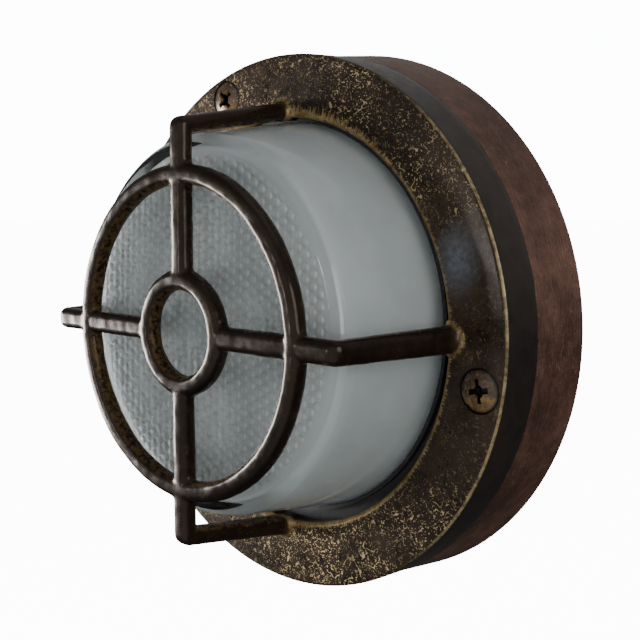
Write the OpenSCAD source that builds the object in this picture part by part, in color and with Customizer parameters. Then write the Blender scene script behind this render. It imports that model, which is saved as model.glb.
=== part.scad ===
// Round outdoor wall light: cast back housing, cast front ring with a guard cage,
// pressed glass, and the lamp, holder and wiring inside.
// X is to the right, Z is up, and the light faces -Y with its back on the wall at Y = 0.
// The pieces are drawn lying on their backs, with the depth from the wall along Z,
// and the module facing_room() stands them up against the wall.

/* [Glass] */
// Diameter of the glass at the face of the front ring
glass_d = 111.9; // [104:0.1:120]
// Height of the glass in front of the ring's face
glass_height = 32.3; // [26:0.1:36]
// Slope of the glass side, in degrees
glass_taper = 7.75; // [4:0.25:9]
// Thickness of the glass side
glass_wall = 4; // [3:0.25:4.5]
// Thickness of the glass front
glass_front_t = 4.5; // [3.5:0.25:5]
// Rounding of the glass shoulder
shoulder_round = 3; // [1.5:0.25:4]
// Width of the flange that holds the glass
flange_w = 5; // [4.5:0.25:7]
// Thickness of that flange
flange_t = 4; // [3:0.25:5]
// How far the glass sits above the middle of its opening
glass_lift = 1.6; // [0:0.1:2]

/* [Front ring] */
// Gap round the glass in the ring's opening
opening_gap = 3.25; // [2.75:0.05:4]
// Depth of the front ring, from the seam to its face
bezel_depth = 13; // [12:0.5:16]
// Thickness of the ring's face
face_t = 4.5; // [4:0.25:5]
// Wall thickness of the ring's rim
rim_t = 3; // [2.5:0.25:3.5]
// How much narrower the rim is at its face, on each side
rim_draft = 0.5; // [0:0.1:1]
// Rounding of the ring's outer edge
face_round = 1.8; // [1:0.1:2.5]
// Bevel of the ring's inner edge
opening_bevel = 1; // [0.5:0.1:1.5]
// Distance from the screw circle to the outside of the seam
edge_land = 7.7; // [7.5:0.1:10]

/* [Guard cage] */
// Distance from the ring's face to the middle of the front bars
guard_stand = 37.4; // [36:0.1:44]
// Radius at which the arms turn into the front bars
arm_front_r = 55.3; // [52:0.1:58]
// How far outside the opening's edge the arms' feet are centred
foot_inset = 1.9; // [1.5:0.1:3]
// Width of the front bars
bar_w = 6.2; // [5.5:0.1:7]
// Thickness of the front bars
bar_t = 4.7; // [4.5:0.1:4.9]
// Rounding along the edges of bars and rings
bar_round = 2; // [1.5:0.1:2.1]
// Outside rounding where an arm turns into a bar
corner_round = 3; // [2.5:0.1:4]
// Width of the arms at their feet
foot_w = 7.2; // [6.5:0.1:8]
// Radius of the guard ring
guard_ring_r = 42.4; // [38:0.1:46]
// Width of the guard ring and of the hub ring
ring_w = 5.4; // [5:0.1:6.5]
// Thickness of the guard ring and of the hub ring, which stand a little proud of the bars
ring_t = 5; // [4.8:0.1:5.6]
// Radius of the small hub ring in the middle
hub_r = 14.2; // [12:0.1:18]
// Radius of the fillets where bars and rings cross
fillet_r = 1.8; // [1:0.1:2.5]

/* [Back housing] */
// Depth of the back housing, from the wall to the seam
housing_depth = 19; // [18:0.5:24]
// How much wider the housing is at the wall, on each side
wall_flare = 2; // [0.5:0.25:4]
// Wall thickness of the housing
housing_wall = 3; // [2.5:0.25:3.5]
// Thickness of the housing floor
floor_t = 3.5; // [3:0.25:4.5]
// Thickness of the inner wall that the glass seals against
seat_wall = 5; // [4:0.25:6]
// Number of ribs between the two walls
rib_count = 9; // [6:3:12]
// Thickness of the ribs
rib_t = 2.4; // [2:0.1:3]
// Height of the lip that centres the front ring
lip_h = 2; // [1:0.25:3]

/* [Screws and seals] */
// Thread diameter of the three screws of the front ring
bezel_screw_d = 6; // [5:0.5:6]
// Head diameter of those screws
bezel_head_d = 11; // [10:0.1:12]
// Length of those screws
bezel_screw_l = 25; // [20:1:26]
// Direction of the first of the three screws, in degrees
screw_angle = -10; // [-15:1:-5]
// Thickness of the seal round the glass flange
seal_t = 1.5; // [1:0.1:2]
// How far the seal's collar stays behind the ring's face
collar_drop = 2.6; // [2:0.1:3.5]
// Circle on which the wall fixing holes lie
fixing_circle_d = 90; // [84:1:94]
// Diameter of the wall fixing holes
fixing_hole_d = 5.5; // [4.5:0.1:6.5]
// Bore of the grommet for the supply cable
cable_d = 9.5; // [7:0.1:10.5]

/* [Lamp and wiring] */
// Diameter of the bulb
bulb_d = 45; // [40:1:45]
// Length of the bulb with its cap
bulb_len = 77; // [72:1:80]
// Distance from the wall to the axis of the bulb
lamp_axis_z = 36; // [35:0.5:37]
// Gap between the gear tray's rim and the inner wall of the housing
tray_gap = 4.4; // [3.5:0.1:5.5]
// Thickness of the tray's sheet
tray_t = 1; // [0.8:0.1:1.5]
// Height of the tray's rim
tray_rim = 5; // [3:0.5:6]
// Gap behind the tray for the supply wires
wiring_gap = 6.5; // [6:0.25:7]
// Outside diameter of the porcelain lampholder
holder_d = 28; // [26:0.5:28]
// Length of the porcelain lampholder
holder_len = 28; // [27:0.5:30]
// Distance between the ways of the terminal block
way_pitch = 8.5; // [8.25:0.25:9.25]
// Diameter of the insulated leads
lead_d = 2.4; // [2:0.1:2.8]

/* [Hidden] */
$fn = 96;

// Running clearance round pieces that slide together
slip = 0.1;
// Overlap that makes cuts run clean through
cut = 1;
// Overlap that fuses shapes of one casting
weld = 0.5;
bronze = "#4a3526";
brass_yellow = "#b08d4a";
zinc = "#a9adb0";
porcelain = "#ece8dd";

// Depths from the wall
seam_z = housing_depth;
face_z = seam_z + bezel_depth;
plate_z = face_z - face_t;
glass_front_z = face_z + glass_height;
guard_z = face_z + guard_stand;
seal_z = plate_z - flange_t - 2 * seal_t;
flange_z = seal_z + seal_t;

// Radii, from the glass outwards
glass_r = glass_d / 2;
slope = tan(glass_taper);
function glass_side_r(z) = glass_r - (z - face_z) * slope;
neck_r = glass_side_r(flange_z + flange_t);
flange_r = neck_r + flange_w;
opening_r = glass_r + opening_gap;
seal_r = flange_r + slip + seal_t;
seal_lip_r = neck_r + seal_t;
collar_r = opening_r - glass_lift - slip;
pillar_r = bezel_screw_d / 2 + 1.5;
seal_play = 0.8;
screw_circle_r = seal_r + glass_lift + seal_play + pillar_r;
seam_r = screw_circle_r + edge_land;
wall_r = seam_r + wall_flare;
cavity_r = seam_r - housing_wall;
seat_outer_r = seal_r;
seat_inner_r = seat_outer_r - seat_wall;
screw_angles = [for (i = [0:2]) screw_angle + 120 * i];
fixing_angles = [90, 210, 330];

// Tray and what stands on it, as places on the plan (x, up) and depths from the wall
tray_r = seat_inner_r - tray_gap;
tray_z = floor_t + wiring_gap;
deck_z = tray_z + tray_t;
tray_screw_inset = 5;
tray_screw_r = tray_r - tray_screw_inset;
tray_screw_angles = [30, 150, 270];
tray_screw_d = 4;
tray_post_r = 4.2;
cable_pos = [20, -26];
holder_r = holder_d / 2;
plate_t = 1.5;
holder_y = -41;
bracket_y = holder_y - plate_t;
bracket_w = 26;
bracket_foot = 14;
bracket_step = 2;
bracket_top = holder_r - 0.5;
bracket_round = 4;
rivet_x = 7;
rivet_rise = 9;
rivet_y = holder_y + rivet_rise;
rivet_head_d = 5.4;
rivet_head_h = 1.2;
holder_screw_x = 9.5;
holder_screw_l = 6;
small_screw_d = 3;
small_head_d = 5.5;
small_head_h = 2;
screw_slot = 0.8;
shell_r = 7.5;
shell_t = 0.4;
shell_len = 18;
shell_lift = 2.5;
cap_r = 6.95;
cap_len = 26;
contact_r = 3.4;
contact_t = 0.6;
contact_y = holder_y + 3;
bulb_y = contact_y + contact_t;
block_w = 16;
block_h = 12;
block_pos = [-28, -23];
block_len = 3 * way_pitch;
way_z = deck_z + 3.2;
function way_y(i) = block_pos[1] + (i - 1) * way_pitch;
way_screw_x = 4.2;
way_screw_r = 1.3;
way_screw_h = 6;
barrel_r = 2.3;
barrel_len = block_w - 2;
lead_r = lead_d / 2;
lead_bend = 2.5;
lead_grip = 3;
lead_out = 0.6;
earth_pos = [-30, 6];
lug_r = 4.2;
lug_t = 0.8;
tongue_w = 3.2;
neck_w = 2.6;
ferrule_gap = 0.4;
ferrule_len = 6;
washer_d = 7.6;
washer_t = 0.9;
earth_screw_d = 4;
earth_head_d = 7.4;
large_head_h = 2.6;
tray_head_d = 7;

// Turns a piece drawn on its back so that it faces the room
module facing_room() {
    rotate([90, 0, 0]) children();
}

// Copies children to one radius at each of the angles
module at_angles(angles, radius) {
    for (a = angles)
        rotate(a) translate([radius, 0, 0]) children();
}

// Rounded bar section, centred on the origin
module bar_section(w, t, r) {
    square([w - 2 * r, t], center = true);
    square([w, t - 2 * r], center = true);
    for (x = [-1, 1], y = [-1, 1])
        translate([x * (w / 2 - r), y * (t / 2 - r)]) circle(r);
}

// One corner of a crossing, filled in with a hollow radius
module crossing_fillet(h) {
    difference() {
        translate([-weld, -weld, -h / 2]) cube([fillet_r + weld, fillet_r + weld, h]);
        translate([fillet_r, fillet_r, -h / 2 - cut]) cylinder(r = fillet_r, h = h + 2 * cut);
    }
}

// Pillar for a screw of the front ring, joined to the outer wall by a web
module screw_pillar(h) {
    web = pillar_r * 1.6;
    cylinder(r = pillar_r, h = h);
    translate([0, -web / 2, 0]) cube([pillar_r + 1, web, h]);
}

// Machine screw with a domed head and a slot, its head's underside at the origin
module slotted_screw(d, l, head_d, head_h) {
    difference() {
        union() {
            cylinder(d = head_d, h = head_h * 0.5);
            translate([0, 0, head_h * 0.5 - slip])
                cylinder(d1 = head_d, d2 = head_d * 0.7, h = head_h * 0.5 + slip);
        }
        translate([-head_d, -screw_slot / 2, head_h - screw_slot]) cube([2 * head_d, screw_slot, head_h]);
    }
    translate([0, 0, -l]) cylinder(d = d, h = l + weld);
}

// Back housing: a shallow drum with an inner wall for the seal, ribs and bosses

module housing_shell() {
    difference() {
        cylinder(r1 = wall_r, r2 = seam_r, h = housing_depth);
        translate([0, 0, floor_t]) cylinder(r = cavity_r, h = housing_depth);
    }
    difference() {
        translate([0, 0, floor_t - weld]) cylinder(r = seat_outer_r, h = seal_z - floor_t + weld);
        translate([0, 0, floor_t - cut]) cylinder(r = seat_inner_r, h = seal_z + cut);
    }
}

module housing_ribs() {
    rib_drop = 5;
    rib_h = housing_depth - floor_t - rib_drop;
    for (i = [0:rib_count - 1])
        rotate(screw_angle + 60 + i * 360 / rib_count)
            translate([seat_outer_r - weld, -rib_t / 2, floor_t - weld])
                cube([cavity_r - seat_outer_r + 2 * weld, rib_t, rib_h + weld]);
}

// Lip that fits inside the front ring, with a gap at each of its pillars
module centring_lip() {
    lip_t = 1.8;
    root = 4;
    joined = 3;
    difference() {
        translate([0, 0, seam_z - root]) cylinder(r = cavity_r - slip, h = root + lip_h);
        translate([0, 0, seam_z - root - cut]) cylinder(r = cavity_r - lip_t, h = root + lip_h + 2 * cut);
        at_angles(screw_angles, screw_circle_r)
            translate([0, 0, seam_z]) cylinder(r = pillar_r * 1.5, h = lip_h + cut);
    }
    difference() {
        translate([0, 0, seam_z - root]) cylinder(r = cavity_r + weld, h = joined);
        translate([0, 0, seam_z - root - cut]) cylinder(r = cavity_r - lip_t, h = joined + 2 * cut);
    }
}

module housing_posts() {
    pad_w = 2.5;
    pad_h = 1.2;
    at_angles(screw_angles, screw_circle_r)
        translate([0, 0, floor_t - weld]) screw_pillar(seam_z - floor_t + weld);
    at_angles(tray_screw_angles, tray_screw_r)
        translate([0, 0, floor_t - weld]) cylinder(r = tray_post_r, h = tray_z - floor_t + weld);
    at_angles(fixing_angles, fixing_circle_d / 2)
        translate([0, 0, floor_t - weld]) cylinder(r = fixing_hole_d / 2 + pad_w, h = pad_h + weld);
    translate([earth_pos[0], earth_pos[1], floor_t - weld])
        cylinder(r = tray_post_r, h = tray_z - floor_t + weld);
}

module back_housing() {
    tap_run = 1.5;
    color(bronze) facing_room() difference() {
        union() {
            housing_shell();
            housing_ribs();
            centring_lip();
            housing_posts();
        }
        at_angles(screw_angles, screw_circle_r)
            translate([0, 0, face_z - bezel_screw_l - tap_run])
                cylinder(d = bezel_screw_d + 2 * slip, h = housing_depth + lip_h);
        at_angles(tray_screw_angles, tray_screw_r)
            translate([0, 0, floor_t - tap_run]) cylinder(d = tray_screw_d + slip, h = housing_depth);
        translate([earth_pos[0], earth_pos[1], floor_t - tap_run])
            cylinder(d = earth_screw_d + slip, h = housing_depth);
        at_angles(fixing_angles, fixing_circle_d / 2)
            translate([0, 0, -cut]) cylinder(d = fixing_hole_d, h = floor_t + seat_wall);
        translate([cable_pos[0], cable_pos[1], -cut]) {
            cylinder(r = grommet_neck_r + slip, h = floor_t + 2 * cut);
            cylinder(r = grommet_flange_r + slip, h = grommet_flange_t + slip + cut);
        }
    }
}

// Front ring with the guard cage, cast in one piece

module bezel_profile() {
    face_r = seam_r - rim_draft;
    polygon([
        [opening_r, plate_z],
        [opening_r, face_z - opening_bevel],
        [opening_r + opening_bevel, face_z],
        [face_r - face_round, face_z],
        [face_r, face_z - face_round],
        [seam_r, seam_z],
        [seam_r - rim_t, seam_z],
        [seam_r - rim_t, plate_z]
    ]);
    translate([face_r - face_round, face_z - face_round]) circle(face_round);
}

// Angle by which the arms lean outwards towards their feet
foot_r = opening_r + foot_inset;
foot_t = bar_t + 0.5;
lean = atan((foot_r - arm_front_r) / guard_stand);

// Point about which the outside of an arm's corner is turned
turn_in = corner_round - bar_t / 2;
turn_z = guard_z - turn_in;
turn_r = arm_front_r - turn_in * (1 - sin(lean)) / cos(lean);

module front_bar() {
    inner_end = hub_r + 0.5;
    translate([inner_end, 0, guard_z]) rotate([90, 0, 90])
        linear_extrude(turn_r - inner_end) bar_section(bar_w, bar_t, bar_round);
    translate([inner_end, 0, guard_z]) rotate_extrude() intersection() {
        bar_section(bar_w, bar_t, bar_round);
        translate([0, -bar_t]) square([bar_w, 2 * bar_t]);
    }
}

module arm_corner() {
    translate([turn_r, 0, turn_z]) rotate([90, 0, 0]) rotate(lean)
        rotate_extrude(angle = 90 - lean) {
            translate([0, -bar_w / 2 + bar_round]) square([corner_round, bar_w - 2 * bar_round]);
            translate([0, -bar_w / 2]) square([corner_round - bar_round, bar_w]);
            intersection() {
                for (y = [-1, 1])
                    translate([corner_round - bar_round, y * (bar_w / 2 - bar_round)]) circle(bar_round);
                translate([0, -bar_w / 2]) square([corner_round, bar_w]);
            }
        }
}

// The arm widens from the bar's section to its foot on the ring
module arm() {
    slice = 0.02;
    hull() {
        translate([turn_r, 0, turn_z]) rotate([0, -lean, 0]) translate([turn_in, 0, 0])
            linear_extrude(slice) bar_section(bar_t, bar_w, bar_round, $fn = 20);
        translate([foot_r, 0, face_z - 1])
            linear_extrude(slice) bar_section(foot_t, foot_w, bar_round, $fn = 20);
    }
    translate([foot_r, 0, plate_z]) linear_extrude(face_z - 1 - plate_z + slice)
        bar_section(foot_t, foot_w, bar_round);
}

// Flared foot, cut off flush with the opening's edge
module arm_foot() {
    flare_h = 1.6;
    difference() {
        translate([opening_r + foot_w / 2 - 2.6, 0, face_z - weld])
            cylinder(r1 = foot_w / 2 + 0.7, r2 = foot_w / 2 - 0.5, h = flare_h + weld);
        translate([0, 0, face_z - cut]) cylinder(r = opening_r, h = flare_h + 2 * cut);
    }
}

module guard_rings() {
    for (r = [guard_ring_r, hub_r])
        rotate_extrude() translate([r, guard_z]) bar_section(ring_w, ring_t, bar_round);
}

// Hollow radii in the corners where the bars cross the two rings
module guard_fillets() {
    sunk = 2 * slip;
    half_bar = bar_w / 2 - sunk;
    fillet_h = bar_t - 0.95 * bar_round;
    for (a = [0, 90, 180, 270]) rotate(a) for (side = [-1, 1]) {
        for (edge = [guard_ring_r + ring_w / 2, hub_r + ring_w / 2])
            translate([sqrt(edge * edge - half_bar * half_bar) - sunk, side * half_bar, guard_z])
                mirror([0, side < 0 ? 1 : 0, 0]) crossing_fillet(fillet_h);
        inner = guard_ring_r - ring_w / 2;
        translate([sqrt(inner * inner - half_bar * half_bar) + sunk, side * half_bar, guard_z])
            mirror([1, 0, 0]) mirror([0, side < 0 ? 1 : 0, 0]) crossing_fillet(fillet_h);
    }
}

module guard_bezel() {
    color(bronze) facing_room() difference() {
        union() {
            rotate_extrude() bezel_profile();
            at_angles(screw_angles, screw_circle_r)
                translate([0, 0, seam_z + slip]) screw_pillar(plate_z - seam_z - slip + weld);
            for (a = [0, 90, 180, 270]) rotate(a) {
                front_bar();
                arm_corner();
                arm();
                arm_foot();
            }
            guard_rings();
            guard_fillets();
        }
        at_angles(screw_angles, screw_circle_r) {
            translate([0, 0, seam_z - cut])
                cylinder(d = bezel_screw_d + 6 * slip, h = bezel_depth + 2 * cut);
            translate([0, 0, face_z - head_cone_h - head_sink])
                cylinder(d1 = bezel_screw_d, d2 = bezel_head_d + 4 * slip, h = head_cone_h);
            translate([0, 0, face_z - head_sink])
                cylinder(d = bezel_head_d + 4 * slip, h = head_sink + cut);
        }
    }
}

// Countersunk screws with a raised head and a cross recess
head_cone_h = (bezel_head_d - bezel_screw_d) / 2;
head_sink = 0.3;
head_raise = 1.3;
recess_l = 6.2;
recess_w = 1.5;
recess_depth = 2.8;
recess_tip = 0.6;
recess_turn = 20;

module raised_head() {
    dome_r = (bezel_head_d * bezel_head_d / 4 + head_raise * head_raise) / (2 * head_raise);
    cylinder(d1 = bezel_screw_d, d2 = bezel_head_d, h = head_cone_h);
    intersection() {
        translate([0, 0, head_cone_h - dome_r + head_raise]) sphere(dome_r);
        translate([0, 0, head_cone_h - slip]) cylinder(d = bezel_head_d, h = head_raise + cut);
    }
}

module cross_recess() {
    floor_z = head_cone_h + head_raise - recess_depth;
    for (a = [0, 90])
        rotate(a + recess_turn) translate([-recess_l / 2, -recess_w / 2, floor_z])
            cube([recess_l, recess_w, recess_depth + cut]);
    translate([0, 0, floor_z - recess_tip])
        cylinder(d1 = recess_w, d2 = recess_l * 0.62, h = recess_depth + recess_tip);
}

module bezel_screws() {
    seat = face_z - head_cone_h - head_sink + slip;
    color(brass_yellow) facing_room() at_angles(screw_angles, screw_circle_r) {
        translate([0, 0, seat]) difference() {
            raised_head();
            cross_recess();
        }
        translate([0, 0, face_z - bezel_screw_l])
            cylinder(d = bezel_screw_d, h = seat - face_z + bezel_screw_l + weld);
    }
}

// Pressed glass cup with a flange

module glass_profile() {
    round_z = glass_front_z - shoulder_round;
    round_r = glass_side_r(round_z) - shoulder_round / cos(glass_taper);
    inner_z = glass_front_z - glass_front_t;
    inner_round = shoulder_round / 2;
    inner_round_z = inner_z - inner_round;
    inner_r = glass_side_r(inner_round_z) - glass_wall;
    difference() {
        union() {
            polygon([
                [0, flange_z],
                [flange_r - 0.5, flange_z],
                [flange_r, flange_z + 0.5],
                [flange_r, flange_z + flange_t - 0.5],
                [flange_r - 0.5, flange_z + flange_t],
                [neck_r, flange_z + flange_t],
                [round_r + shoulder_round * cos(glass_taper), round_z + shoulder_round * sin(glass_taper)],
                [round_r, glass_front_z],
                [0, glass_front_z]
            ]);
            translate([round_r, round_z]) circle(shoulder_round);
        }
        polygon([
            [-cut, flange_z - cut],
            [glass_side_r(flange_z - cut) - glass_wall, flange_z - cut],
            [inner_r, inner_round_z],
            [inner_r - inner_round, inner_z],
            [-cut, inner_z]
        ]);
        translate([inner_r - inner_round, inner_round_z]) circle(inner_round);
    }
}

module glass() {
    color("#c4d0d0", 0.6) facing_room() translate([0, glass_lift, 0]) rotate_extrude() glass_profile();
}

// Rubber seal, folded round the glass flange, with a collar that stands in the opening's gap
module glass_seal() {
    flange_front_z = flange_z + flange_t;
    collar_z = face_z - collar_drop;
    fold_r = flange_r + slip;
    notch_r = foot_r - foot_t / 2 - slip;
    notch_w = foot_w + 2 * slip;
    color("#1b1b1c") facing_room() difference() {
        translate([0, glass_lift, 0]) rotate_extrude() polygon([
            [seal_lip_r, seal_z],
            [seal_r, seal_z],
            [seal_r, plate_z],
            [collar_r, plate_z],
            [collar_r, collar_z],
            [glass_side_r(collar_z) + slip, collar_z],
            [neck_r + slip, flange_front_z],
            [fold_r, flange_front_z],
            [fold_r, flange_z],
            [seal_lip_r, flange_z]
        ]);
        for (a = [0, 90, 180, 270])
            rotate(a) translate([notch_r, -notch_w / 2, plate_z - slip])
                cube([foot_t, notch_w, bezel_depth]);
    }
}

// Rubber grommet for the supply cable, flush with the back
grommet_wall = 2.6;
grommet_lip = 2.4;
grommet_neck_r = cable_d / 2 + grommet_wall;
grommet_flange_r = grommet_neck_r + grommet_lip;
grommet_flange_t = 1.4;
grommet_inner_t = 1.6;
grommet_nose = 2.5;
grommet_len = floor_t + grommet_inner_t + grommet_nose;

module cable_grommet() {
    color("#202021") facing_room() translate([cable_pos[0], cable_pos[1], 0]) difference() {
        union() {
            translate([0, 0, slip]) cylinder(r = grommet_flange_r, h = grommet_flange_t);
            translate([0, 0, slip]) cylinder(r = grommet_neck_r, h = floor_t + grommet_inner_t - slip);
            translate([0, 0, floor_t]) cylinder(r = grommet_flange_r, h = grommet_inner_t);
            translate([0, 0, floor_t + grommet_inner_t])
                cylinder(r1 = grommet_neck_r, r2 = (grommet_neck_r + cable_d / 2) / 2, h = grommet_nose);
        }
        translate([0, 0, -cut]) cylinder(d = cable_d, h = grommet_len + 2 * cut);
    }
}

// Gear tray: a pressed white dish that carries the lampholder and the terminals
module gear_tray() {
    color("#e8e8e4") facing_room() difference() {
        translate([0, 0, tray_z]) cylinder(r = tray_r, h = tray_rim);
        translate([0, 0, deck_z]) cylinder(r = tray_r - tray_t, h = tray_rim);
        at_angles(tray_screw_angles, tray_screw_r)
            translate([0, 0, tray_z - cut]) cylinder(d = tray_screw_d + 0.5, h = tray_rim);
        translate([earth_pos[0], earth_pos[1], tray_z - cut])
            cylinder(d = earth_screw_d + 0.5, h = tray_rim);
        translate([cable_pos[0], cable_pos[1], tray_z - cut]) cylinder(r = grommet_neck_r, h = tray_rim);
        for (x = [-1, 1])
            translate([x * rivet_x, rivet_y, tray_z - cut])
                cylinder(d = small_screw_d + 2 * slip, h = tray_rim);
        for (i = [0, 1])
            translate([block_pos[0], way_y(i + 0.5), tray_z - cut])
                cylinder(d = small_screw_d + 2 * slip, h = tray_rim);
    }
}

module tray_screws() {
    tray_screw_l = deck_z - floor_t + 1;
    color(zinc) facing_room() at_angles(tray_screw_angles, tray_screw_r)
        translate([0, 0, deck_z]) slotted_screw(tray_screw_d, tray_screw_l, tray_head_d, large_head_h);
}

// Folded bracket that stands on the tray and holds the lampholder
module holder_bracket() {
    top_z = lamp_axis_z + bracket_top;
    plate_h = top_z - deck_z;
    half_w = bracket_w / 2;
    half_top = half_w - bracket_round;
    half_foot = half_w - bracket_step;
    color(zinc) facing_room() difference() {
        union() {
            translate([-half_w, bracket_y, deck_z]) cube([bracket_w, plate_t, plate_h - bracket_round]);
            translate([-half_top, bracket_y, deck_z]) cube([2 * half_top, plate_t, plate_h]);
            for (x = [-1, 1])
                translate([x * half_top, bracket_y, top_z - bracket_round]) rotate([-90, 0, 0])
                    cylinder(r = bracket_round, h = plate_t);
            translate([-half_foot, bracket_y, deck_z])
                cube([2 * half_foot, bracket_foot + plate_t, plate_t]);
        }
        for (x = [-1, 1]) {
            translate([x * holder_screw_x, bracket_y - cut, lamp_axis_z]) rotate([-90, 0, 0])
                cylinder(d = small_screw_d + 2 * slip, h = plate_t + 2 * cut);
            translate([x * rivet_x, rivet_y, deck_z - cut])
                cylinder(d = small_screw_d + 2 * slip, h = plate_t + 2 * cut);
        }
    }
}

module bracket_rivets() {
    color(zinc) facing_room() for (x = [-1, 1]) translate([x * rivet_x, rivet_y, 0]) {
        translate([0, 0, tray_z - rivet_head_h]) cylinder(d = rivet_head_d, h = rivet_head_h);
        translate([0, 0, tray_z - weld]) cylinder(d = small_screw_d, h = tray_t + plate_t + 2 * weld);
        translate([0, 0, deck_z + plate_t])
            cylinder(d1 = rivet_head_d, d2 = rivet_head_d * 0.75, h = rivet_head_h);
    }
}

// Puts what is drawn along Z onto the bulb's axis, with its start at height y
module on_lamp_axis(y) {
    translate([0, y, lamp_axis_z]) rotate([-90, 0, 0]) children();
}

// Porcelain body with a waist below its lip, blind screw holes and two holes for the leads
module lampholder() {
    lip = 5;
    groove = 4;
    flare_h = 1.5;
    waist = holder_r - 1.2;
    lip_r = holder_r - 0.4;
    hole_run = 0.5;
    color(porcelain) facing_room() difference() {
        on_lamp_axis(holder_y) {
            cylinder(r = holder_r, h = holder_len - lip - groove);
            cylinder(r = waist, h = holder_len - lip);
            translate([0, 0, holder_len - lip]) cylinder(r1 = waist, r2 = lip_r, h = flare_h);
            translate([0, 0, holder_len - lip + flare_h]) cylinder(r = lip_r, h = lip - flare_h);
        }
        on_lamp_axis(contact_y) cylinder(r = shell_r + slip, h = holder_len);
        for (x = [-1, 1])
            translate([x * holder_screw_x, 0, 0]) on_lamp_axis(holder_y - cut)
                cylinder(d = small_screw_d + slip, h = holder_screw_l + hole_run + cut);
        for (i = [0, 1])
            translate([-holder_r - cut, way_y(i), lamp_axis_z]) rotate([0, 90, 0])
                cylinder(r = lead_r + slip, h = lead_grip + hole_run + cut);
    }
}

module lampholder_screws() {
    color(zinc) facing_room() for (x = [-1, 1]) translate([x * holder_screw_x, bracket_y, lamp_axis_z])
        rotate([90, 0, 0])
            slotted_screw(small_screw_d, plate_t + holder_screw_l, small_head_d, small_head_h);
}

module lamp_shell() {
    color(brass_yellow) facing_room() on_lamp_axis(contact_y + shell_lift) difference() {
        cylinder(r = shell_r, h = shell_len);
        translate([0, 0, -cut]) cylinder(r = shell_r - shell_t, h = shell_len + 2 * cut);
    }
}

module lamp_contact() {
    color(brass_yellow) facing_room() on_lamp_axis(contact_y) cylinder(r = contact_r, h = contact_t);
}

// Round bulb with a screw cap, sealed, so one solid
module bulb() {
    bulb_r = bulb_d / 2;
    centre = bulb_len - bulb_r;
    throat_r = cap_r + 4;
    button_r = 2.4;
    button_h = 1;
    cone_r = 5;
    cone_h = 3.2;
    thread_z = 4;
    color("#f2efe6") facing_room() on_lamp_axis(bulb_y) rotate_extrude() {
        intersection() {
            union() {
                translate([0, centre]) circle(bulb_r);
                polygon([
                    [0, cap_len - cut],
                    [throat_r, cap_len - cut],
                    [bulb_r * 0.8, centre - bulb_r * 0.6],
                    [0, centre]
                ]);
            }
            square([bulb_r + cut, bulb_len + cut]);
        }
        polygon([
            [0, 0],
            [button_r, 0],
            [button_r, button_h],
            [cone_r, cone_h],
            [cap_r, thread_z],
            [cap_r, cap_len],
            [0, cap_len]
        ]);
    }
}

// Three-way terminal block of porcelain, with brass barrels and their screws
module terminal_block() {
    screw_r = small_screw_d / 2 + slip;
    well_r = way_screw_r + 0.7;
    head_room = small_head_h + 1;
    color(porcelain) facing_room() difference() {
        translate([block_pos[0] - block_w / 2, block_pos[1] - block_len / 2, deck_z])
            cube([block_w, block_len, block_h]);
        for (i = [0:2])
            translate([block_pos[0] - block_w / 2 - cut, way_y(i), way_z]) rotate([0, 90, 0])
                cylinder(r = barrel_r + slip, h = block_w + 2 * cut);
        for (i = [0:2], x = [-1, 1])
            translate([block_pos[0] + x * way_screw_x, way_y(i), way_z]) cylinder(r = well_r, h = block_h);
        for (i = [0, 1]) translate([block_pos[0], way_y(i + 0.5), deck_z - cut]) {
            cylinder(r = screw_r, h = block_h + 2 * cut);
            translate([0, 0, block_h + cut - head_room])
                cylinder(d = small_head_d + 3 * slip, h = head_room + cut);
        }
    }
}

module terminal_barrels() {
    color(brass_yellow) facing_room() for (i = [0:2])
        translate([block_pos[0], way_y(i), way_z]) difference() {
            translate([-barrel_len / 2, 0, 0]) rotate([0, 90, 0]) cylinder(r = barrel_r, h = barrel_len);
            translate([-barrel_len / 2 - cut, 0, 0]) rotate([0, 90, 0])
                cylinder(r = lead_r + slip, h = barrel_len + 2 * cut);
            for (x = [-1, 1])
                translate([x * way_screw_x, 0, 0]) cylinder(r = way_screw_r + slip, h = barrel_r + cut);
        }
}

module terminal_screws() {
    slot_w = screw_slot * 0.75;
    tip_gap = 3 * slip;
    color(zinc) facing_room() for (i = [0:2], x = [-1, 1])
        translate([block_pos[0] + x * way_screw_x, way_y(i), way_z + lead_r + tip_gap]) difference() {
            cylinder(r = way_screw_r, h = way_screw_h);
            translate([-way_screw_r - cut, -slot_w / 2, way_screw_h - screw_slot])
                cube([2 * way_screw_r + 2 * cut, slot_w, screw_slot + cut]);
        }
}

module block_screws() {
    head_room = small_head_h + 1;
    below = 2.5;
    color(zinc) facing_room() for (i = [0, 1])
        translate([block_pos[0], way_y(i + 0.5), deck_z + block_h - head_room])
            slotted_screw(small_screw_d, block_h - head_room + tray_t + below, small_head_d, small_head_h);
}

// Earth connection on its own post: lug, toothed washer and screw
module earth_lug() {
    ferrule_x = lug_r + ferrule_gap;
    ferrule_z = way_z - deck_z;
    neck_l = ferrule_len / 2;
    color(brass_yellow) facing_room() translate([earth_pos[0], earth_pos[1], deck_z]) difference() {
        union() {
            cylinder(r = lug_r, h = lug_t);
            translate([0, -tongue_w / 2, 0]) cube([ferrule_x + neck_l, tongue_w, lug_t]);
            translate([ferrule_x, -neck_w / 2, lug_t - slip]) cube([neck_l, neck_w, ferrule_z - lug_t]);
            translate([ferrule_x, 0, ferrule_z]) rotate([0, 90, 0])
                cylinder(r = lead_r + 0.7, h = ferrule_len);
        }
        translate([0, 0, -cut]) cylinder(d = earth_screw_d + 2 * slip, h = lug_t + 2 * cut);
        translate([ferrule_x - cut, 0, ferrule_z]) rotate([0, 90, 0])
            cylinder(r = lead_r + slip, h = ferrule_len + 2 * cut);
    }
}

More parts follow.
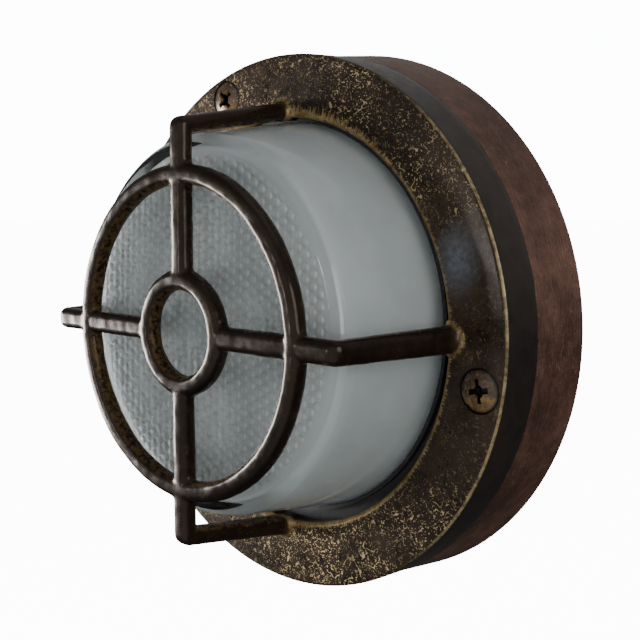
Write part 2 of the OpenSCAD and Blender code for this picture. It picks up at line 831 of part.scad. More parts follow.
module earth_washer() {
    teeth = 10;
    notch_r = 3.1;
    notch_w = 0.9;
    color(zinc) facing_room() translate([earth_pos[0], earth_pos[1], deck_z + lug_t]) difference() {
        cylinder(d = washer_d, h = washer_t);
        translate([0, 0, -cut]) cylinder(d = earth_screw_d + 2 * slip, h = washer_t + 2 * cut);
        for (i = [0:teeth - 1])
            rotate(i * 360 / teeth) translate([notch_r, -notch_w / 2, -cut])
                cube([washer_d / 2, notch_w, washer_t + 2 * cut]);
    }
}

module earth_screw() {
    color(brass_yellow) facing_room() translate([earth_pos[0], earth_pos[1], deck_z + lug_t + washer_t])
        slotted_screw(earth_screw_d, deck_z + lug_t + washer_t - floor_t + 1, earth_head_d, large_head_h);
}

// Straight stretch of lead along X, from x0 to x1
module lead_along_x(x0, x1, y, z) {
    translate([x0, y, z]) rotate([0, 90, 0]) cylinder(r = lead_r, h = x1 - x0);
}

// Lead from one way of the terminal block to the side of the lampholder
module lamp_lead(y) {
    rise_x = block_pos[0] + block_w / 2 + lead_out + lead_bend;
    entry_x = rise_x + lead_bend;
    lead_along_x(block_pos[0] + block_w / 2 - lead_grip, rise_x - lead_bend, y, way_z);
    translate([rise_x - lead_bend, y, way_z + lead_bend]) rotate([90, 0, 0]) rotate(-90)
        rotate_extrude(angle = 90) translate([lead_bend, 0]) circle(lead_r);
    translate([rise_x, y, way_z + lead_bend]) cylinder(r = lead_r, h = lamp_axis_z - way_z - 2 * lead_bend);
    translate([entry_x, y, lamp_axis_z - lead_bend]) rotate([90, 0, 0]) rotate(90)
        rotate_extrude(angle = 90) translate([lead_bend, 0]) circle(lead_r);
    lead_along_x(entry_x, -holder_r + lead_grip, y, lamp_axis_z);
}

module live_lead() {
    color("#6b3a1e") facing_room() lamp_lead(way_y(0));
}

module neutral_lead() {
    color("#2c5f9e") facing_room() lamp_lead(way_y(1));
}

// Earth lead: out of the block, up beside it and back into the lug
module earth_lead() {
    turn_x = block_pos[0] + block_w / 2 + lead_out;
    run_x = turn_x + lead_bend;
    color("#4e8b34") facing_room() {
        lead_along_x(block_pos[0] + block_w / 2 - lead_grip, turn_x, way_y(2), way_z);
        translate([turn_x, way_y(2) + lead_bend, way_z]) rotate(-90)
            rotate_extrude(angle = 90) translate([lead_bend, 0]) circle(lead_r);
        translate([run_x, way_y(2) + lead_bend, way_z]) rotate([-90, 0, 0])
            cylinder(r = lead_r, h = earth_pos[1] - way_y(2) - 2 * lead_bend);
        translate([turn_x, earth_pos[1] - lead_bend, way_z])
            rotate_extrude(angle = 90) translate([lead_bend, 0]) circle(lead_r);
        lead_along_x(earth_pos[0] + lug_r + 1, turn_x, earth_pos[1], way_z);
    }
}

back_housing();
guard_bezel();
glass();
glass_seal();
bezel_screws();
cable_grommet();
gear_tray();
tray_screws();
holder_bracket();
bracket_rivets();
lampholder();
lampholder_screws();
lamp_shell();
lamp_contact();
bulb();
terminal_block();
terminal_barrels();
terminal_screws();
block_screws();
earth_screw();
earth_washer();
earth_lug();
live_lead();
neutral_lead();
earth_lead();
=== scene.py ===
"""Looks of the outdoor wall light: finishes of its pieces, the cast guard, the dimpled glass and a studio."""

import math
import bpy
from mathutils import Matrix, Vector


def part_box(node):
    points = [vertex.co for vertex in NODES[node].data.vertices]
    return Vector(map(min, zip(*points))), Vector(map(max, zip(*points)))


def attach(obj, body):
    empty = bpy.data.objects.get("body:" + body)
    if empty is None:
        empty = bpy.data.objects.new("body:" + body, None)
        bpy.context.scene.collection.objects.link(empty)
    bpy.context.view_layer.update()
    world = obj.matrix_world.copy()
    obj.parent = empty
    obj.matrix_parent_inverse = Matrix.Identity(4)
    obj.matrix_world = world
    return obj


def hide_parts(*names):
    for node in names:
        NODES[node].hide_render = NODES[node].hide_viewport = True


bl_info = {
    "name": "Outdoor Wall Light",
    "version": (1, 0, 0),
    "blender": (4, 5, 0),
    "location": "3D View > Sidebar > Wall Light",
    "description": "Finishes a cast outdoor wall light, makes its dimpled glass and sets up a studio for it",
    "category": "Object",
}

from itertools import product

import bmesh
import bpy
from mathutils import Matrix, Vector, geometry, noise

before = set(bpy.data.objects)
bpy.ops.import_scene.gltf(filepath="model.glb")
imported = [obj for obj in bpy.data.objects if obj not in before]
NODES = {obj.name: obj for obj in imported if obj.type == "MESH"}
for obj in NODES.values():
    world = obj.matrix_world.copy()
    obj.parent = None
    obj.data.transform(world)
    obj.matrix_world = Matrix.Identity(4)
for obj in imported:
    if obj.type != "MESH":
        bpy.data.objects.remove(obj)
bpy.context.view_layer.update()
RING_LOW, RING_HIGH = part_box("guard_bezel")
GLASS_LOW, GLASS_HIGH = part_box("glass")


def measured(value):
    """A size read from the frame, to a hundredth of a millimetre."""
    return round(value, 5)


# Short calls for the settings below, one for each unit


def length_prop(name, description, default, **limits):
    return bpy.props.FloatProperty(
        name=name, description=description, default=default, unit="LENGTH", **limits)


def angle_prop(name, description, degrees):
    return bpy.props.FloatProperty(
        name=name, description=description, default=math.radians(degrees), subtype="ANGLE")


def color_prop(name, description, default):
    return bpy.props.FloatVectorProperty(
        name=name, description=description, default=default, subtype="COLOR", size=3, min=0, max=1)


def share_prop(name, description, default, most=1):
    return bpy.props.FloatProperty(
        name=name, description=description, default=default, min=0, max=most, subtype="FACTOR")


def power_prop(name, description, default):
    return bpy.props.FloatProperty(
        name=name, description=description, default=default, min=0, unit="POWER")


def strength_prop(name, description, default, most=10):
    return bpy.props.FloatProperty(
        name=name, description=description, default=default, min=0, max=most)


class CastingSizes(bpy.types.PropertyGroup):
    seam_depth: length_prop(
        "Seam", "Distance from the wall to the back edge of the front ring", measured(-RING_HIGH.y))
    face_depth: length_prop("Ring face", "Distance from the wall to the front ring's face", 0.032)
    face_thickness: length_prop("Face thickness", "Thickness of the ring's face", 0.0045)
    seam_radius: length_prop("Seam radius", "Outer radius of the ring at the seam", measured(RING_HIGH.x))
    rim_draft: length_prop("Rim draft", "How much narrower the rim is at its face", 0.0005)
    rim_thickness: length_prop("Rim thickness", "Wall thickness of the rim", 0.003)
    edge_round: length_prop(
        "Edge rounding", "Rounding of the ring's outer edge, clear of the countersinks", 0.0012)
    opening_radius: length_prop("Opening", "Radius of the opening for the glass", 0.0592)
    opening_bevel: length_prop("Opening bevel", "Bevel of the opening's edge", 0.001)
    screw_circle: length_prop("Screw circle", "Radius of the circle of the three screws", 0.07027)
    screw_turn: angle_prop("First screw", "Direction of the first screw", -10)
    sink_radius: length_prop("Countersink", "Radius of the countersinks at the face", 0.0057)
    sink_land: length_prop("Countersink land", "Depth of the straight part of the countersinks", 0.0003)
    hole_radius: length_prop("Screw hole", "Radius of the clearance holes for the screws", 0.0033)
    pillar_radius: length_prop("Pillar", "Radius of the pillars round the screws", 0.0045)
    guard_front: length_prop(
        "Guard", "Distance from the wall to the front of the guard", measured(-RING_LOW.y))
    arm_radius: length_prop("Arm front", "Radius at which the arms turn into the front bars", 0.0553)
    foot_inset: length_prop(
        "Foot inset", "How far outside the opening's edge the feet of the arms are centred", 0.0019)
    foot_width: length_prop("Foot width", "Width of the arms at their feet", 0.0072)
    bar_width: length_prop("Bar width", "Width of the front bars", 0.0062)
    bar_thickness: length_prop("Bar thickness", "Thickness of the front bars", 0.0047)
    bar_round: length_prop("Bar rounding", "Rounding along the edges of bars and rings", 0.002)
    corner_round: length_prop("Corner rounding", "Outside rounding where an arm turns into a bar", 0.003)
    ring_radius: length_prop("Guard ring", "Radius of the guard ring", 0.0424)
    hub_radius: length_prop("Hub ring", "Radius of the small hub ring", 0.0142)
    ring_width: length_prop("Ring width", "Width of the guard ring and the hub ring", 0.0054)
    ring_thickness: length_prop("Ring thickness", "Thickness of the guard ring and the hub ring", 0.005)
    fillet: length_prop("Fillets", "Radius of the hollows where bars and rings cross", 0.0022)
    fineness: length_prop(
        "Fineness", "Size of the cells that fuse the guard into one casting", 0.00043, min=0.0003, max=0.002)
    unevenness: length_prop(
        "Unevenness", "Height of the waves that sand casting leaves in the guard", 0.00012)


class GlassSizes(bpy.types.PropertyGroup):
    face_radius: length_prop(
        "Radius at the ring", "Outer radius level with the front ring's face", 0.05595, min=0.05, max=0.06)
    front_depth: length_prop(
        "Front", "Distance from the wall to the front of the glass", measured(-GLASS_LOW.y))
    flange_back: length_prop(
        "Back of the flange", "Distance from the wall to the back of the flange", measured(-GLASS_HIGH.y))
    flange_thickness: length_prop("Flange thickness", "Thickness of the flange under the ring", 0.004)
    flange_width: length_prop("Flange width", "How far the flange stands out", 0.005)
    taper: angle_prop("Slope", "Slope of the side", 7.75)
    side_thickness: length_prop("Side thickness", "Thickness of the side wall", 0.004)
    front_thickness: length_prop("Front thickness", "Thickness of the front between the dimples", 0.0045)
    shoulder: length_prop("Shoulder", "Rounding between the front and the side", 0.003)
    lift: length_prop(
        "Lift", "How far the glass sits above the middle of its opening",
        measured((GLASS_LOW.z + GLASS_HIGH.z) / 2))
    dimple_pitch: length_prop(
        "Dimple pitch", "Distance between neighbouring dimples", 0.0031, min=0.002, max=0.006)
    dimple_height: length_prop("Dimple height", "How far each dimple stands in from the inner face", 0.0008)
    dimple_radius: length_prop("Dimpled field", "Radius of the dimpled field", 0.0466)
    dimple_turn: angle_prop("Dimple rows", "Direction of the rows of dimples", 28)


class BronzeLook(bpy.types.PropertyGroup):
    brown: color_prop("Patina", "Main colour of the weathered bronze", (0.041, 0.0245, 0.0155))
    dark: color_prop("Dark patina", "Darker colour between the brown areas", (0.0095, 0.006, 0.0042))
    housing_brown: color_prop("Housing patina", "Redder colour of the back housing", (0.22, 0.112, 0.085))
    side: color_prop("Ring side", "Colour of the smooth side of the front ring", (0.024, 0.0225, 0.024))
    gold: color_prop("Bare metal", "Golden colour of worn spots and flecks", (0.85, 0.65, 0.33))
    ochre: color_prop("Ochre dirt", "Colour of the dirt in corners", (0.24, 0.145, 0.045))
    highlight: color_prop("Highlight", "Tint of the patina's highlights", (0.8, 0.62, 0.48))
    # Colour of a painted sheen on the ring's face, standing in for a reflection and not a bloom of wax
    painted_sheen_tint: color_prop("Bloom", "Bluish bloom of wax in one place on the front ring", (0.13, 0.145, 0.17))
    roughness: share_prop("Roughness", "Roughness of the patina", 0.32)
    flecks: share_prop("Flecks", "Amount of golden flecks on the front ring", 1.0, most=2)


class GlassLook(bpy.types.PropertyGroup):
    tint: color_prop("Tint", "Tint of the clear glass", (0.93, 0.965, 0.96))
    frost: color_prop("Frost", "Colour of the frosted inner surface", (0.93, 0.97, 0.965))
    # Painted shade: how bright the frost stays on the front away from the painted highlights on the dimples
    painted_cell_shade: share_prop("Smooth cells", "Brightness of the smooth parts of the dimples", 0.74)
    frost_see_through: share_prop(
        "Frost see-through", "Share of the light that passes through the frost", 0.12)


class InnerLook(bpy.types.PropertyGroup):
    enamel: color_prop("Enamel", "Colour of the gear tray", (0.72, 0.72, 0.69))
    porcelain: color_prop("Porcelain", "Colour of the lampholder and the terminal block", (0.78, 0.75, 0.68))
    zinc: color_prop("Zinc", "Colour of the plated steel", (0.52, 0.54, 0.56))
    brass: color_prop("Brass", "Colour of the brass fittings inside", (0.66, 0.47, 0.2))
    rubber: color_prop("Rubber", "Colour of the seal and the grommet", (0.012, 0.012, 0.013))
    opal: color_prop("Opal glass", "Colour of the bulb", (0.85, 0.84, 0.8))
    live: color_prop("Live lead", "Colour of the live lead", (0.14, 0.05, 0.02))
    neutral: color_prop("Neutral lead", "Colour of the neutral lead", (0.03, 0.12, 0.36))
    earth_green: color_prop("Earth lead", "Green of the earth lead", (0.06, 0.25, 0.04))
    earth_yellow: color_prop("Earth stripe", "Yellow of the earth lead", (0.7, 0.55, 0.05))


class StudioLook(bpy.types.PropertyGroup):
    floor: color_prop("Floor", "Colour of the floor", (0.9, 0.9, 0.9))
    floor_height: length_prop("Floor height", "Height of the floor", -0.6)
    backdrop: strength_prop("Backdrop", "Brightness of the backdrop behind the light", 14.0, most=30)
    sky: strength_prop("Sky", "Brightness of the soft light from above", 0.08)
    behind: strength_prop("Behind", "Extra brightness of the soft light from behind the object", 0.22)
    ground: strength_prop("Ground", "Brightness of the soft light from below", 0.05)
    front: strength_prop("Front", "Brightness of the large soft light at the front", 0.75)
    left: strength_prop("Left", "Brightness of the large soft light at the left", 2.4)
    key_power: power_prop(
        "Key light", "Power of the light far at the left, which rakes across the front", 15.0)
    top_power: power_prop("Top light", "Power of the large light above", 1.5)
    side_power: power_prop("Side light", "Power of the light at the right", 8.5)
    window_power: power_prop("Window", "Power of the small light that gives the ring its sheen", 0.9)


class Tree:
    """Short calls for making and joining shader nodes."""

    def __init__(self, tree):
        self.tree = tree
        self.coord = None

    def node(self, kind, settings=(), **values):
        made = self.tree.nodes.new(kind)
        for name, value in dict(settings).items():
            setattr(made, name, value)
        for name, value in values.items():
            self.feed(made.inputs[name.replace("_", " ")], value)
        return made

    def feed(self, socket, value):
        if isinstance(value, bpy.types.NodeSocket):
            self.tree.links.new(value, socket)
        elif hasattr(value, "__len__") and socket.type == "RGBA" and len(value) == 3:
            socket.default_value = (*value, 1)
        else:
            socket.default_value = value

    def place(self):
        if self.coord is None:
            self.coord = self.node("ShaderNodeTexCoord").outputs["Object"]
        return self.coord

    def shifted(self, turn, shift):
        """The place on the piece, turned in the plane of the ring and shifted"""
        made = self.node("ShaderNodeMapping", {"vector_type": "TEXTURE"}, Vector=self.place())
        made.inputs["Rotation"].default_value = (0, turn, 0)
        made.inputs["Location"].default_value = shift
        return made.outputs[0]

    def noise(self, scale, detail=3, roughness=0.6, vector=None, distortion=0):
        made = self.node("ShaderNodeTexNoise", Vector=vector or self.place(), Scale=scale, Detail=detail,
                         Roughness=roughness, Distortion=distortion)
        return made.outputs["Fac"]

    def math(self, operation, a, b=0.0):
        made = self.node("ShaderNodeMath", {"operation": operation})
        self.feed(made.inputs[0], a)
        self.feed(made.inputs[1], b)
        return made.outputs[0]

    def times(self, value, *others):
        for other in others:
            value = self.math("MULTIPLY", value, other)
        return value

    def plus(self, a, b):
        return self.math("ADD", a, b)

    def minus(self, a, b):
        return self.math("SUBTRACT", a, b)

    def over(self, a, b):
        return self.math("DIVIDE", a, b)

    def most(self, a, b):
        return self.math("MAXIMUM", a, b)

    def least(self, a, b):
        return self.math("MINIMUM", a, b)

    def unsigned(self, a):
        return self.math("ABSOLUTE", a)

    def distance(self, a, b):
        return self.math("SQRT", self.plus(self.math("POWER", a, 2.0), self.math("POWER", b, 2.0)))

    def direction(self, across, up):
        return self.math("ARCTAN2", up, across)

    def ramp(self, value, low, high, out_low=0.0, out_high=1.0):
        made = self.node("ShaderNodeMapRange", {"interpolation_type": "SMOOTHSTEP"}, Value=value)
        limits = {"From Min": low, "From Max": high, "To Min": out_low, "To Max": out_high}
        for name, amount in limits.items():
            self.feed(made.inputs[name], amount)
        return made.outputs[0]

    def mix(self, factor, a, b):
        made = self.node("ShaderNodeMix", {"data_type": "RGBA"})
        self.feed(made.inputs[0], factor)
        self.feed(made.inputs[6], a)
        self.feed(made.inputs[7], b)
        return made.outputs[2]

    def joined(self, x, y, z=0.0):
        return self.node("ShaderNodeCombineXYZ", X=x, Y=y, Z=z).outputs[0]

    def split(self, vector):
        return self.node("ShaderNodeSeparateXYZ", Vector=vector).outputs

    def facing(self):
        return self.split(self.node("ShaderNodeNewGeometry").outputs["Normal"])

    def finish(self, shader, color, roughness, height, relief, metallic=0.0):
        """Feeds a shader with a finish's colour, roughness and bumps, whose relief is in metres"""
        self.feed(shader.inputs["Base Color"], color)
        self.feed(shader.inputs["Roughness"], roughness)
        self.feed(shader.inputs["Metallic"], metallic)
        bump = self.node("ShaderNodeBump", Height=height, Distance=relief)
        self.feed(shader.inputs["Normal"], bump.outputs[0])


def shade(color, amount):
    """The same colour, darker or lighter by that factor."""
    return tuple(c * amount for c in color)


def group(name, inputs, outputs):
    """A new shader group with named sockets. Returns it, its tree, its input and its output sockets."""
    made = bpy.data.node_groups.new(name, "ShaderNodeTree")
    kinds = {"color": "NodeSocketColor", "value": "NodeSocketFloat"}
    for label, kind, default in inputs:
        socket = made.interface.new_socket(label, in_out="INPUT", socket_type=kinds[kind])
        socket.default_value = (*default, 1) if kind == "color" else default
    for label, kind in outputs:
        made.interface.new_socket(label, in_out="OUTPUT", socket_type=kinds[kind])
    entry = made.nodes.new("NodeGroupInput")
    leave = made.nodes.new("NodeGroupOutput")
    return made, Tree(made), entry.outputs, leave.inputs


def patina_group():
    """Weathered bronze: brown and dark areas, flecks of bare metal, scratches, and ochre dirt in corners."""
    made, t, given, out = group(
        "weathered_bronze",
        [("Brown", "color", (0.03, 0.02, 0.015)), ("Dark", "color", (0.01, 0.01, 0.01)),
         ("Bare", "color", (0.5, 0.34, 0.15)), ("Ochre", "color", (0.2, 0.12, 0.04)),
         ("Flecks", "value", 1.0), ("Dirt", "value", 1.0), ("Roughness", "value", 0.36)],
        [("Color", "color"), ("Roughness", "value"), ("Bare", "value"), ("Height", "value")])
    broad = t.noise(28, 4, 0.6)
    fine = t.noise(260, 4, 0.65)
    mottle = t.ramp(t.plus(t.times(broad, 0.7), t.times(fine, 0.3)), 0.38, 0.64)
    patina = t.mix(mottle, given["Dark"], given["Brown"])

    # Flecks gather in patches, and each is an irregular spot or a short curved scratch
    patches = t.ramp(t.noise(75, 3, 0.6), 0.36, 0.6, 0.25, 1.0)
    marks = t.ramp(t.noise(2300, 2, 0.5), 0.63, 0.68)
    for scale, turn in ((300, 0.4), (420, 1.3), (560, 2.4)):
        path = t.noise(scale, 1, 0.4, t.shifted(turn, (turn, 0, 0)), 0.5)
        line = t.ramp(t.unsigned(t.minus(path, 0.5)), 0.02, 0.008)
        piece = t.ramp(t.noise(scale * 1.4, 1, 0.5, t.shifted(turn + 1, (0, 0, turn))), 0.57, 0.62)
        marks = t.most(marks, t.times(line, piece))
    flecks = t.least(t.times(marks, patches, given["Flecks"]), 1.0)

    corner = t.node("ShaderNodeAmbientOcclusion", {"samples": 8, "only_local": True}, Distance=0.0045)
    hollow = t.ramp(corner.outputs["AO"], 0.86, 0.5)
    crumbs = t.ramp(t.noise(900, 3, 0.7), 0.34, 0.6)
    dirt = t.least(t.times(hollow, crumbs, given["Dirt"]), 1.0)

    t.feed(out["Color"], t.mix(flecks, t.mix(dirt, patina, given["Ochre"]), given["Bare"]))
    rough = t.plus(given["Roughness"], t.times(t.minus(fine, 0.5), 0.35))
    t.feed(out["Roughness"], t.least(t.plus(rough, t.times(dirt, 0.35)), 0.95))
    t.feed(out["Bare"], flecks)
    height = t.plus(t.times(fine, 0.5), t.times(t.noise(1400, 3, 0.6), 0.3))
    t.feed(out["Height"], t.plus(height, t.times(flecks, -0.25)))
    return made


def grain_group():
    """Small variation of colour, roughness and relief for porcelain, rubber, enamel, glass and plating."""
    made, t, given, out = group(
        "fine_grain",
        [("Color", "color", (0.5, 0.5, 0.5)), ("Grime", "color", (0.1, 0.09, 0.07)),
         ("Scale", "value", 400.0), ("Variation", "value", 0.15), ("Grime Amount", "value", 0.3),
         ("Roughness", "value", 0.4)],
        [("Color", "color"), ("Roughness", "value"), ("Height", "value")])
    broad = t.noise(60, 3, 0.6)
    fine = t.node("ShaderNodeTexNoise", Vector=t.place(), Scale=given["Scale"], Detail=4).outputs["Fac"]
    change = t.times(t.minus(t.plus(broad, fine), 1.0), given["Variation"])
    varied = t.node("ShaderNodeVectorMath", {"operation": "SCALE"})
    t.feed(varied.inputs[0], given["Color"])
    t.feed(varied.inputs["Scale"], t.plus(change, 1.0))
    corner = t.node("ShaderNodeAmbientOcclusion", {"samples": 8, "only_local": True}, Distance=0.003)
    hollow = t.times(t.ramp(corner.outputs["AO"], 0.9, 0.4), given["Grime Amount"])
    t.feed(out["Color"], t.mix(hollow, varied.outputs[0], given["Grime"]))
    rough = t.plus(given["Roughness"], t.times(t.minus(fine, 0.5), 0.3))
    t.feed(out["Roughness"], t.plus(rough, t.times(hollow, 0.3)))
    t.feed(out["Height"], fine)
    return made


def shared_group(name):
    """The shader group of that name, made the first time it is asked for."""
    makers = {"weathered_bronze": patina_group, "fine_grain": grain_group}
    return bpy.data.node_groups.get(name) or makers[name]()


def new_material(name):
    """A material with a Principled shader. Returns it, its tree and the shader."""
    made = bpy.data.materials.new(name)
    made.use_nodes = True
    made.node_tree.nodes.clear()
    t = Tree(made.node_tree)
    shader = t.node("ShaderNodeBsdfPrincipled")
    end = t.node("ShaderNodeOutputMaterial")
    made.node_tree.links.new(shader.outputs[0], end.inputs["Surface"])
    return made, t, shader


def place_group(t, name, **values):
    """Places a shared group in a material with the material's own values. Returns its outputs."""
    made = t.node("ShaderNodeGroup", {"node_tree": shared_group(name)})
    for label, value in values.items():
        t.feed(made.inputs[label.replace("_", " ")], value)
    return made.outputs


def grained_material(name, color, roughness, relief, grime_color=(0.08, 0.07, 0.05), metallic=0.0, coat=0.0,
                     **grain):
    """A plain finish with fine grain, some grime in its corners and a little relief."""
    made, t, shader = new_material(name)
    given = place_group(t, "fine_grain", Color=color, Grime=grime_color, Roughness=roughness, **grain)
    t.finish(shader, given["Color"], given["Roughness"], given["Height"], relief, metallic)
    shader.inputs["Coat Weight"].default_value = coat
    shader.inputs["Coat Roughness"].default_value = 0.08
    return made


def add_object(context, name, data):
    """Places a new object in the scene."""
    made = bpy.data.objects.new(name, data)
    context.scene.collection.objects.link(made)
    return made


def mesh_of(bm, name):
    """Turns a finished bmesh into a mesh and frees it."""
    made = bpy.data.meshes.new(name)
    bm.to_mesh(made)
    bm.free()
    return made


def finish_node(node, material):
    """Gives a piece from the CAD a material on all its slots."""
    piece = NODES[node]
    if not piece.data.materials:
        piece.data.materials.append(material)
    for i in range(len(piece.data.materials)):
        piece.data.materials[i] = material


def arc(centre, radius, start, end, count):
    """Points of an arc in the plane of distance from the axis and distance from the wall."""
    return [(centre[0] + radius * math.cos(a), centre[1] + radius * math.sin(a))
            for a in (start + (end - start) * i / count for i in range(count + 1))]


def around(count):
    """The angles of places spaced evenly round a circle."""
    return [2 * math.pi * i / count for i in range(count)]


def between(first, last, parts):
    """The values that divide a distance into equal parts, without its two ends."""
    return [first + (last - first) * k / parts for k in range(1, parts)]


def loop_pairs(count, first=0):
    """The pairs of neighbours in a closed loop of numbered points."""
    return [(first + i, first + (i + 1) % count) for i in range(count)]


def join_rings(bm, low, high):
    """Fills the band between two rings of vertices. Returns its faces."""
    return [bm.faces.new((low[i], low[j], high[j], high[i])) for i, j in loop_pairs(len(low))]


def revolve(bm, outline, count, centre=(0, 0)):
    """Turns an outline of (radius, depth) points about an axis. Returns its rings of vertices and faces."""
    rings = [[bm.verts.new((centre[0] + radius * math.cos(a), -depth, centre[1] + radius * math.sin(a)))
              for a in around(count)] for radius, depth in outline]
    faces = []
    for low, high in zip(rings, rings[1:]):
        faces += join_rings(bm, low, high)
    return rings, faces


def holed_face(bm, inner, outer, holes):
    """Fills the flat ring between two rings of vertices, leaving out the rings of some holes."""
    placed, points, edges = [], [], []
    for loop in (inner, outer, *holes):
        first = len(points)
        placed += loop
        points += [Vector((v.co.x, v.co.z)) for v in loop]
        edges += loop_pairs(len(loop), first)
    _, _, triangles, origins, _, _ = geometry.delaunay_2d_cdt(points, edges, [], 1, 1e-8)
    open_radius = points[0].length * 0.9999
    gaps = []
    for loop in holes:
        middle = sum((Vector((v.co.x, v.co.z)) for v in loop), Vector((0, 0))) / len(loop)
        gaps.append((middle, (Vector((loop[0].co.x, loop[0].co.z)) - middle).length))
    for corners in triangles:
        own = [placed[origins[k][0]] for k in corners]
        centre = sum((Vector((v.co.x, v.co.z)) for v in own), Vector((0, 0))) / 3
        if centre.length < open_radius or any((centre - middle).length < reach for middle, reach in gaps):
            continue
        bm.faces.new(own)


def rounded_section(width, thickness, radius, steps=6):
    """Outline of a bar: a rectangle with rounded corners, as (across, through) points."""
    points = []
    for k, (side, front) in enumerate(((1, 1), (-1, 1), (-1, -1), (1, -1))):
        centre = (side * (width / 2 - radius), front * (thickness / 2 - radius))
        points += arc(centre, radius, math.pi / 2 * k, math.pi / 2 * (k + 1), steps)
    return points


def loft(bm, sections):
    """Joins sections with equal numbers of points into a closed solid."""
    rings = [[bm.verts.new(p) for p in section] for section in sections]
    for low, high in zip(rings, rings[1:]):
        join_rings(bm, low, high)
    bm.faces.new(rings[0][::-1])
    bm.faces.new(rings[-1])


def close_disc(bm, ring, depth, lift, steps):
    """Fills a ring with smaller rings and a middle point."""
    count = len(ring)
    radius = Vector((ring[0].co.x, 0, ring[0].co.z - lift)).length
    faces = []
    last = ring
    for k in range(1, steps):
        r = radius * (1 - k / steps)
        now = [bm.verts.new((r * math.cos(a), -depth, lift + r * math.sin(a))) for a in around(count)]
        faces += join_rings(bm, last, now)
        last = now
    middle = bm.verts.new((0, -depth, lift))
    return faces + [bm.faces.new((last[i], last[j], middle)) for i, j in loop_pairs(count)]


def require_closed(bm, name):
    """Stops the script if a solid has an edge that doesn't join two faces."""
    open_edges = [e for e in bm.edges if len(e.link_faces) != 2]
    if open_edges:
        raise RuntimeError(f"{name} has {len(open_edges)} open edges")


class Guard:
    """The guard cage: four arms with feet and front bars, the guard ring, the hub ring and the fillets"""

    def __init__(self, bm, sizes):
        self.bm = bm
        self.sizes = sizes
        self.section = rounded_section(sizes.bar_width, sizes.bar_thickness, sizes.bar_round)
        # Distance from the wall to the middle of the bars
        self.depth = sizes.guard_front - sizes.ring_thickness / 2
        self.foot_radius = sizes.opening_radius + sizes.foot_inset
        self.lean = math.atan2(self.foot_radius - sizes.arm_radius, self.depth - sizes.face_depth)
        # Point about which the outside of an arm's corner is turned
        self.turn_in = sizes.corner_round - sizes.bar_thickness / 2
        self.turn_depth = self.depth - self.turn_in
        inset = self.turn_in * (1 - math.sin(self.lean)) / math.cos(self.lean)
        self.turn_radius = sizes.arm_radius - inset

    def build(self):
        for k in range(4):
            angle = math.pi / 2 * k
            self.bar(angle)
            self.corner(angle)
            self.arm(angle)
            self.foot(angle)
            self.fillets(angle)
        for radius in (self.sizes.ring_radius, self.sizes.hub_radius):
            self.ring(radius)

    def spot(self, angle, out, across, depth):
        """A place on the arm at that angle: out from the axis, across the arm, and its depth from the wall"""
        return (out * math.cos(angle) - across * math.sin(angle), -depth,
                out * math.sin(angle) + across * math.cos(angle))

    def bar(self, angle):
        loft(self.bm, [[self.spot(angle, out, a, self.depth + t) for a, t in self.section]
                       for out in (self.sizes.hub_radius, self.turn_radius)])

    def corner(self, angle):
        steps = 12
        turned = []
        for k in range(steps + 1):
            way = (math.pi / 2 - self.lean) * k / steps
            ring = []
            for a, t in self.section:
                reach = max(t + self.turn_in, 0.00001)
                ring.append(self.spot(angle, self.turn_radius + reach * math.sin(way), a,
                                      self.turn_depth + reach * math.cos(way)))
            turned.append(ring)
        loft(self.bm, turned)

    def arm(self, angle):
        """The arm widens from the bar's section to its foot, and runs on down the opening"""
        sizes = self.sizes
        top = [self.spot(angle, self.turn_radius + (t + self.turn_in) * math.cos(self.lean), a,
                         self.turn_depth + (t + self.turn_in) * math.sin(self.lean))
               for a, t in self.section]
        base = rounded_section(sizes.foot_width, sizes.bar_thickness + 0.0005, sizes.bar_round)
        low, end = [[self.spot(angle, self.foot_radius + t, a, depth) for a, t in base]
                    for depth in (sizes.face_depth - 0.001, sizes.face_depth - sizes.face_thickness)]
        loft(self.bm, [top, low, end])

    def foot(self, angle):
        """A hollow flare round the arm's foot, cut off level with the opening's edge"""
        sizes = self.sizes
        height, sunk, steps, count = 0.0019, 0.0009, 8, 48
        flare, within, overhang, hollowness = 0.0014, 0.0004, 0.0026, 2.2
        wide, narrow = sizes.foot_width / 2 + flare, sizes.foot_width / 2 - within
        centre = sizes.opening_radius + sizes.foot_width / 2 - overhang
        sections = []
        for k in range(-1, steps + 1):
            up = max(k, 0) / steps
            radius = narrow + (wide - narrow) * (1 - up) ** hollowness
            depth = sizes.face_depth - sunk if k < 0 else sizes.face_depth + height * up
            ring = []
            for a in around(count):
                out, across = centre + radius * math.cos(a), radius * math.sin(a)
                away = math.hypot(out, across)
                if away < sizes.opening_radius:
                    out *= sizes.opening_radius / away
                    across *= sizes.opening_radius / away
                ring.append(self.spot(angle, out, across, depth))
            sections.append(ring)
        loft(self.bm, sections)

    def ring(self, radius):
        sizes = self.sizes
        section = rounded_section(sizes.ring_width, sizes.ring_thickness, sizes.bar_round)
        outline = [(radius + a, self.depth + t) for a, t in section]
        revolve(self.bm, outline + outline[:1], count=240)

    def fillets(self, angle):
        """Hollow radii in the corners where a bar crosses the two rings"""
        sizes = self.sizes
        sunk = 0.0003
        beside = sizes.bar_width / 2 - sunk
        half = sizes.bar_thickness * 0.3
        hollow = [(-sunk, -sunk), (sizes.fillet, -sunk)]
        hollow += arc((sizes.fillet, sizes.fillet), sizes.fillet, -math.pi / 2, -math.pi, 8)
        hollow.append((-sunk, sizes.fillet))
        half_ring = sizes.ring_width / 2
        for edge, way in ((sizes.ring_radius + half_ring, 1), (sizes.ring_radius - half_ring, -1),
                          (sizes.hub_radius + half_ring, 1)):
            start = math.sqrt(edge ** 2 - beside ** 2) - way * sunk
            for side in (-1, 1):
                loft(self.bm, [[self.spot(angle, start + way * u, side * (beside + v), depth)
                                for u, v in hollow] for depth in (self.depth - half, self.depth + half)])


